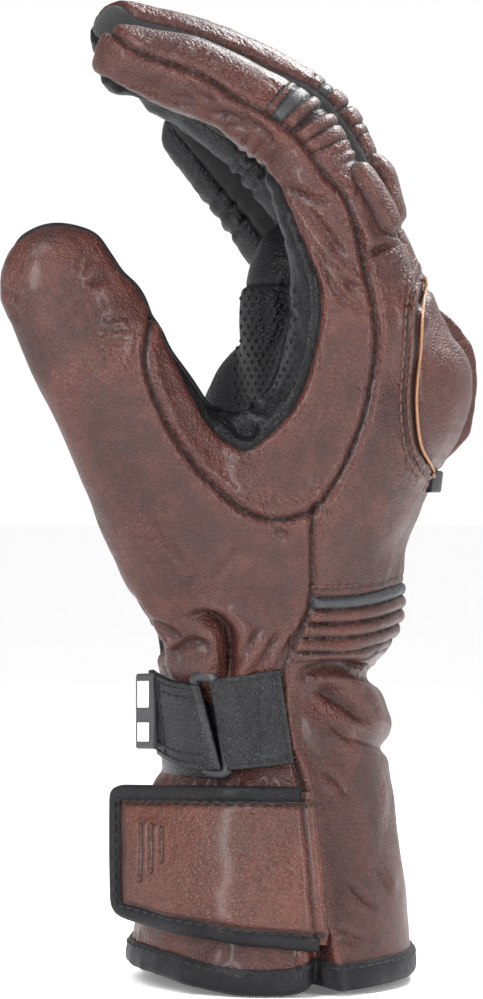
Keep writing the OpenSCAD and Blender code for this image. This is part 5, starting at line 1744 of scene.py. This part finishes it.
# piping and stitch rows
pipe = even(smooth_path([(45.6, 199.2), (44.0, 196.5)] + ARMOUR_EDGE[2:-1] + [(50.4, 140.6)], 140), 1.1)
p, n = on_near(pipe, 0.75)
p = smoothed(p, 3)
add("copper_piping", sweep(p, n, circle(0.5, 10)), "copper", None, ["knuckle_piping"])
for k, off in enumerate((-2.3, -4.3)):
    near_row("armour_stitches_%d" % (k + 1), offset_line(smooth_path(ARMOUR_EDGE[2:-2], 60), off), 0.15,
             **STRAP_THREAD)

thumb_guide = smooth_path([
    (-70.2, 186), (-70.9, 194), (-68, 201.9), (-62.7, 209.3), (-53, 212), (-44.8, 209.3), (-38, 199.8),
    (-32.5, 189.5), (-25.5, 177), (-18.7, 164.7), (-12.6, 157.5), (-7.9, 152.8)], 130)
on_seam = (np.abs(M["turn"]) < 0.07) & ((M["owner"] == THUMB_OWNER) | (M["owner"] == HAND))
pool = np.nonzero(on_seam & (M["p"][:, 1] < -10) & (M["q"][:, 1] > 148))[0]
spots, spot_n = [], []
pq = M["q"][pool]
for g in thumb_guide:
    w8 = bell(np.linalg.norm(pq - g, axis=1), 2.0)
    if w8.sum() < 0.2:
        continue
    spots.append(w8 @ skin[pool] / w8.sum()); spot_n.append(w8 @ skin_n[pool] / w8.sum())
spots, spot_n = smoothed(spots, 4), unit(smoothed(spot_n, 4))
cord = even(np.hstack([spots, spot_n]), 1.1)
add("thumb_piping", sweep(cord[:, :3] + cord[:, 3:] * 0.25, unit(cord[:, 3:]), circle(0.95, 10)),
    "tape", None, ["thumb_tip_piping"])

# vent tab below the armour
p, n = oval(np.linspace(-17, 1, 9), 142.2)
p = p + n * np.linspace(0.6, 3.4, 9)[:, None]
add("vent_tab", sweep(p, n, slab(3.0, 2.2, 6, 0.7), side=np.tile([0.12, 0, 0.99], (9, 1))),
    "tape", "hand", ["knuckle_vent"])

near_row("wrist_stitches", [(12.6, 113.6), (17, 113.6), (21, 113.7), (24, 113.9)], 0.25, pitch=2.3, long=1.5, r=0.26)

# small raised dots along the inner edge of the palm
parts = []
dome = np.array([circle(r, 8) for r in (0.72, 0.66, 0.42, 0.08)])
for i, zz in enumerate(np.arange(161.5, 196, 1.95)):
    for j in range(9):
        xx = -9.4 + 1.95 * j + 0.97 * (i % 2)
        if inside(np.array([[xx, zz]]), palm_ring)[0] < 3.4:
            continue
        (c,), (w,) = on_near([(xx, zz)])
        if c[1] < -52 or w[1] > 0.1 or xx > np.interp(zz, [161, 175, 196], [2.5, 9.5, 10.5]):
            continue
        parts.append(sweep(c + np.outer([-0.1, 0.12, 0.36, 0.5], w), np.tile([0.3, -0.5, 0.8], (4, 1)), dome))
if parts:
    add("palm_dots", joined(parts), "black", "hand")

# ---- Floor, light and camera ------------------------------------------------------------

def plain(colour, rough=0.9):
    def build(g):
        g.put("Base Color", g.mix(g.noise(3, 2), colour, tuple(min(1, c * 1.015) for c in colour)))
        g.put("Roughness", rough)
        g.put("Emission Color", (1, 1, 1, 1))
        g.put("Emission Strength", 0.12)
    return build


low = min(float((np.array(o.bound_box)[:, 2]).min()) for o in PIECES.values()) * 1000
k = np.linspace(0, 2 * math.pi, 64, endpoint=False)
FLOOR_REACH = 30000
rows = np.stack([FLOOR_REACH * np.cos(k), FLOOR_REACH * np.sin(k), 0 * k + low - 0.5], 1)
floor = linked("floor", mesh_of("floor", rows, np.arange(64)[None]))
floor.data.materials.append(material("floor_paper", plain((0.97, 0.97, 0.97))))

# a white studio: bright round the horizon, dimmer overhead
world = bpy.data.worlds.new("studio")
bpy.context.scene.world = world
world.use_nodes = True
wt = world.node_tree
sky = wt.nodes["Background"]
coord = wt.nodes.new("ShaderNodeTexCoord")
split = wt.nodes.new("ShaderNodeSeparateXYZ")
wt.links.new(coord.outputs["Generated"], split.inputs[0])
fade = wt.nodes.new("ShaderNodeValToRGB")
e = fade.color_ramp.elements
e[0].position, e[0].color = 0.12, (1, 1, 1, 1)
e[1].position, e[1].color = 0.42, (0.26, 0.26, 0.27, 1)
wt.links.new(split.outputs["Z"], fade.inputs[0])
wt.links.new(fade.outputs[0], sky.inputs["Color"])
sky.inputs["Strength"].default_value = 1.0


def lamp(name, at, look, size, watts):
    light = bpy.data.lights.new(name, "AREA")
    light.shape, light.size, light.size_y, light.energy = "RECTANGLE", size[0], size[1], watts
    ob = linked(name, light)
    ob.location = at
    ob.rotation_euler = (Vector(look) - Vector(at)).to_track_quat("-Z", "Y").to_euler()


sun = bpy.data.lights.new("sun", "SUN")
sun.energy, sun.angle = 2.2, math.radians(30)
linked("sun", sun).rotation_euler = Vector((0.45, 0.6, -1.0)).to_track_quat("-Z", "Y").to_euler()
lamp("left", (-0.62, -0.85, 0.42), (-0.02, 0, 0.15), (0.14, 0.7), 9)
lamp("right", (0.62, -0.9, 0.30), (0.02, 0, 0.14), (0.12, 0.8), 9)
lamp("rim", (0.35, 0.42, 0.75), (0, 0, 0.2), (0.5, 0.3), 10)

cam = bpy.data.cameras.new("camera")
cam.lens, cam.sensor_width, cam.clip_end = 144.2, 36, 20
eye = linked("camera", cam)
eye.location = tuple(EYE / 1000)
eye.rotation_euler = (math.pi / 2, 0, 0)
bpy.context.scene.camera = eye
bpy.context.scene.view_settings.view_transform = "Standard"
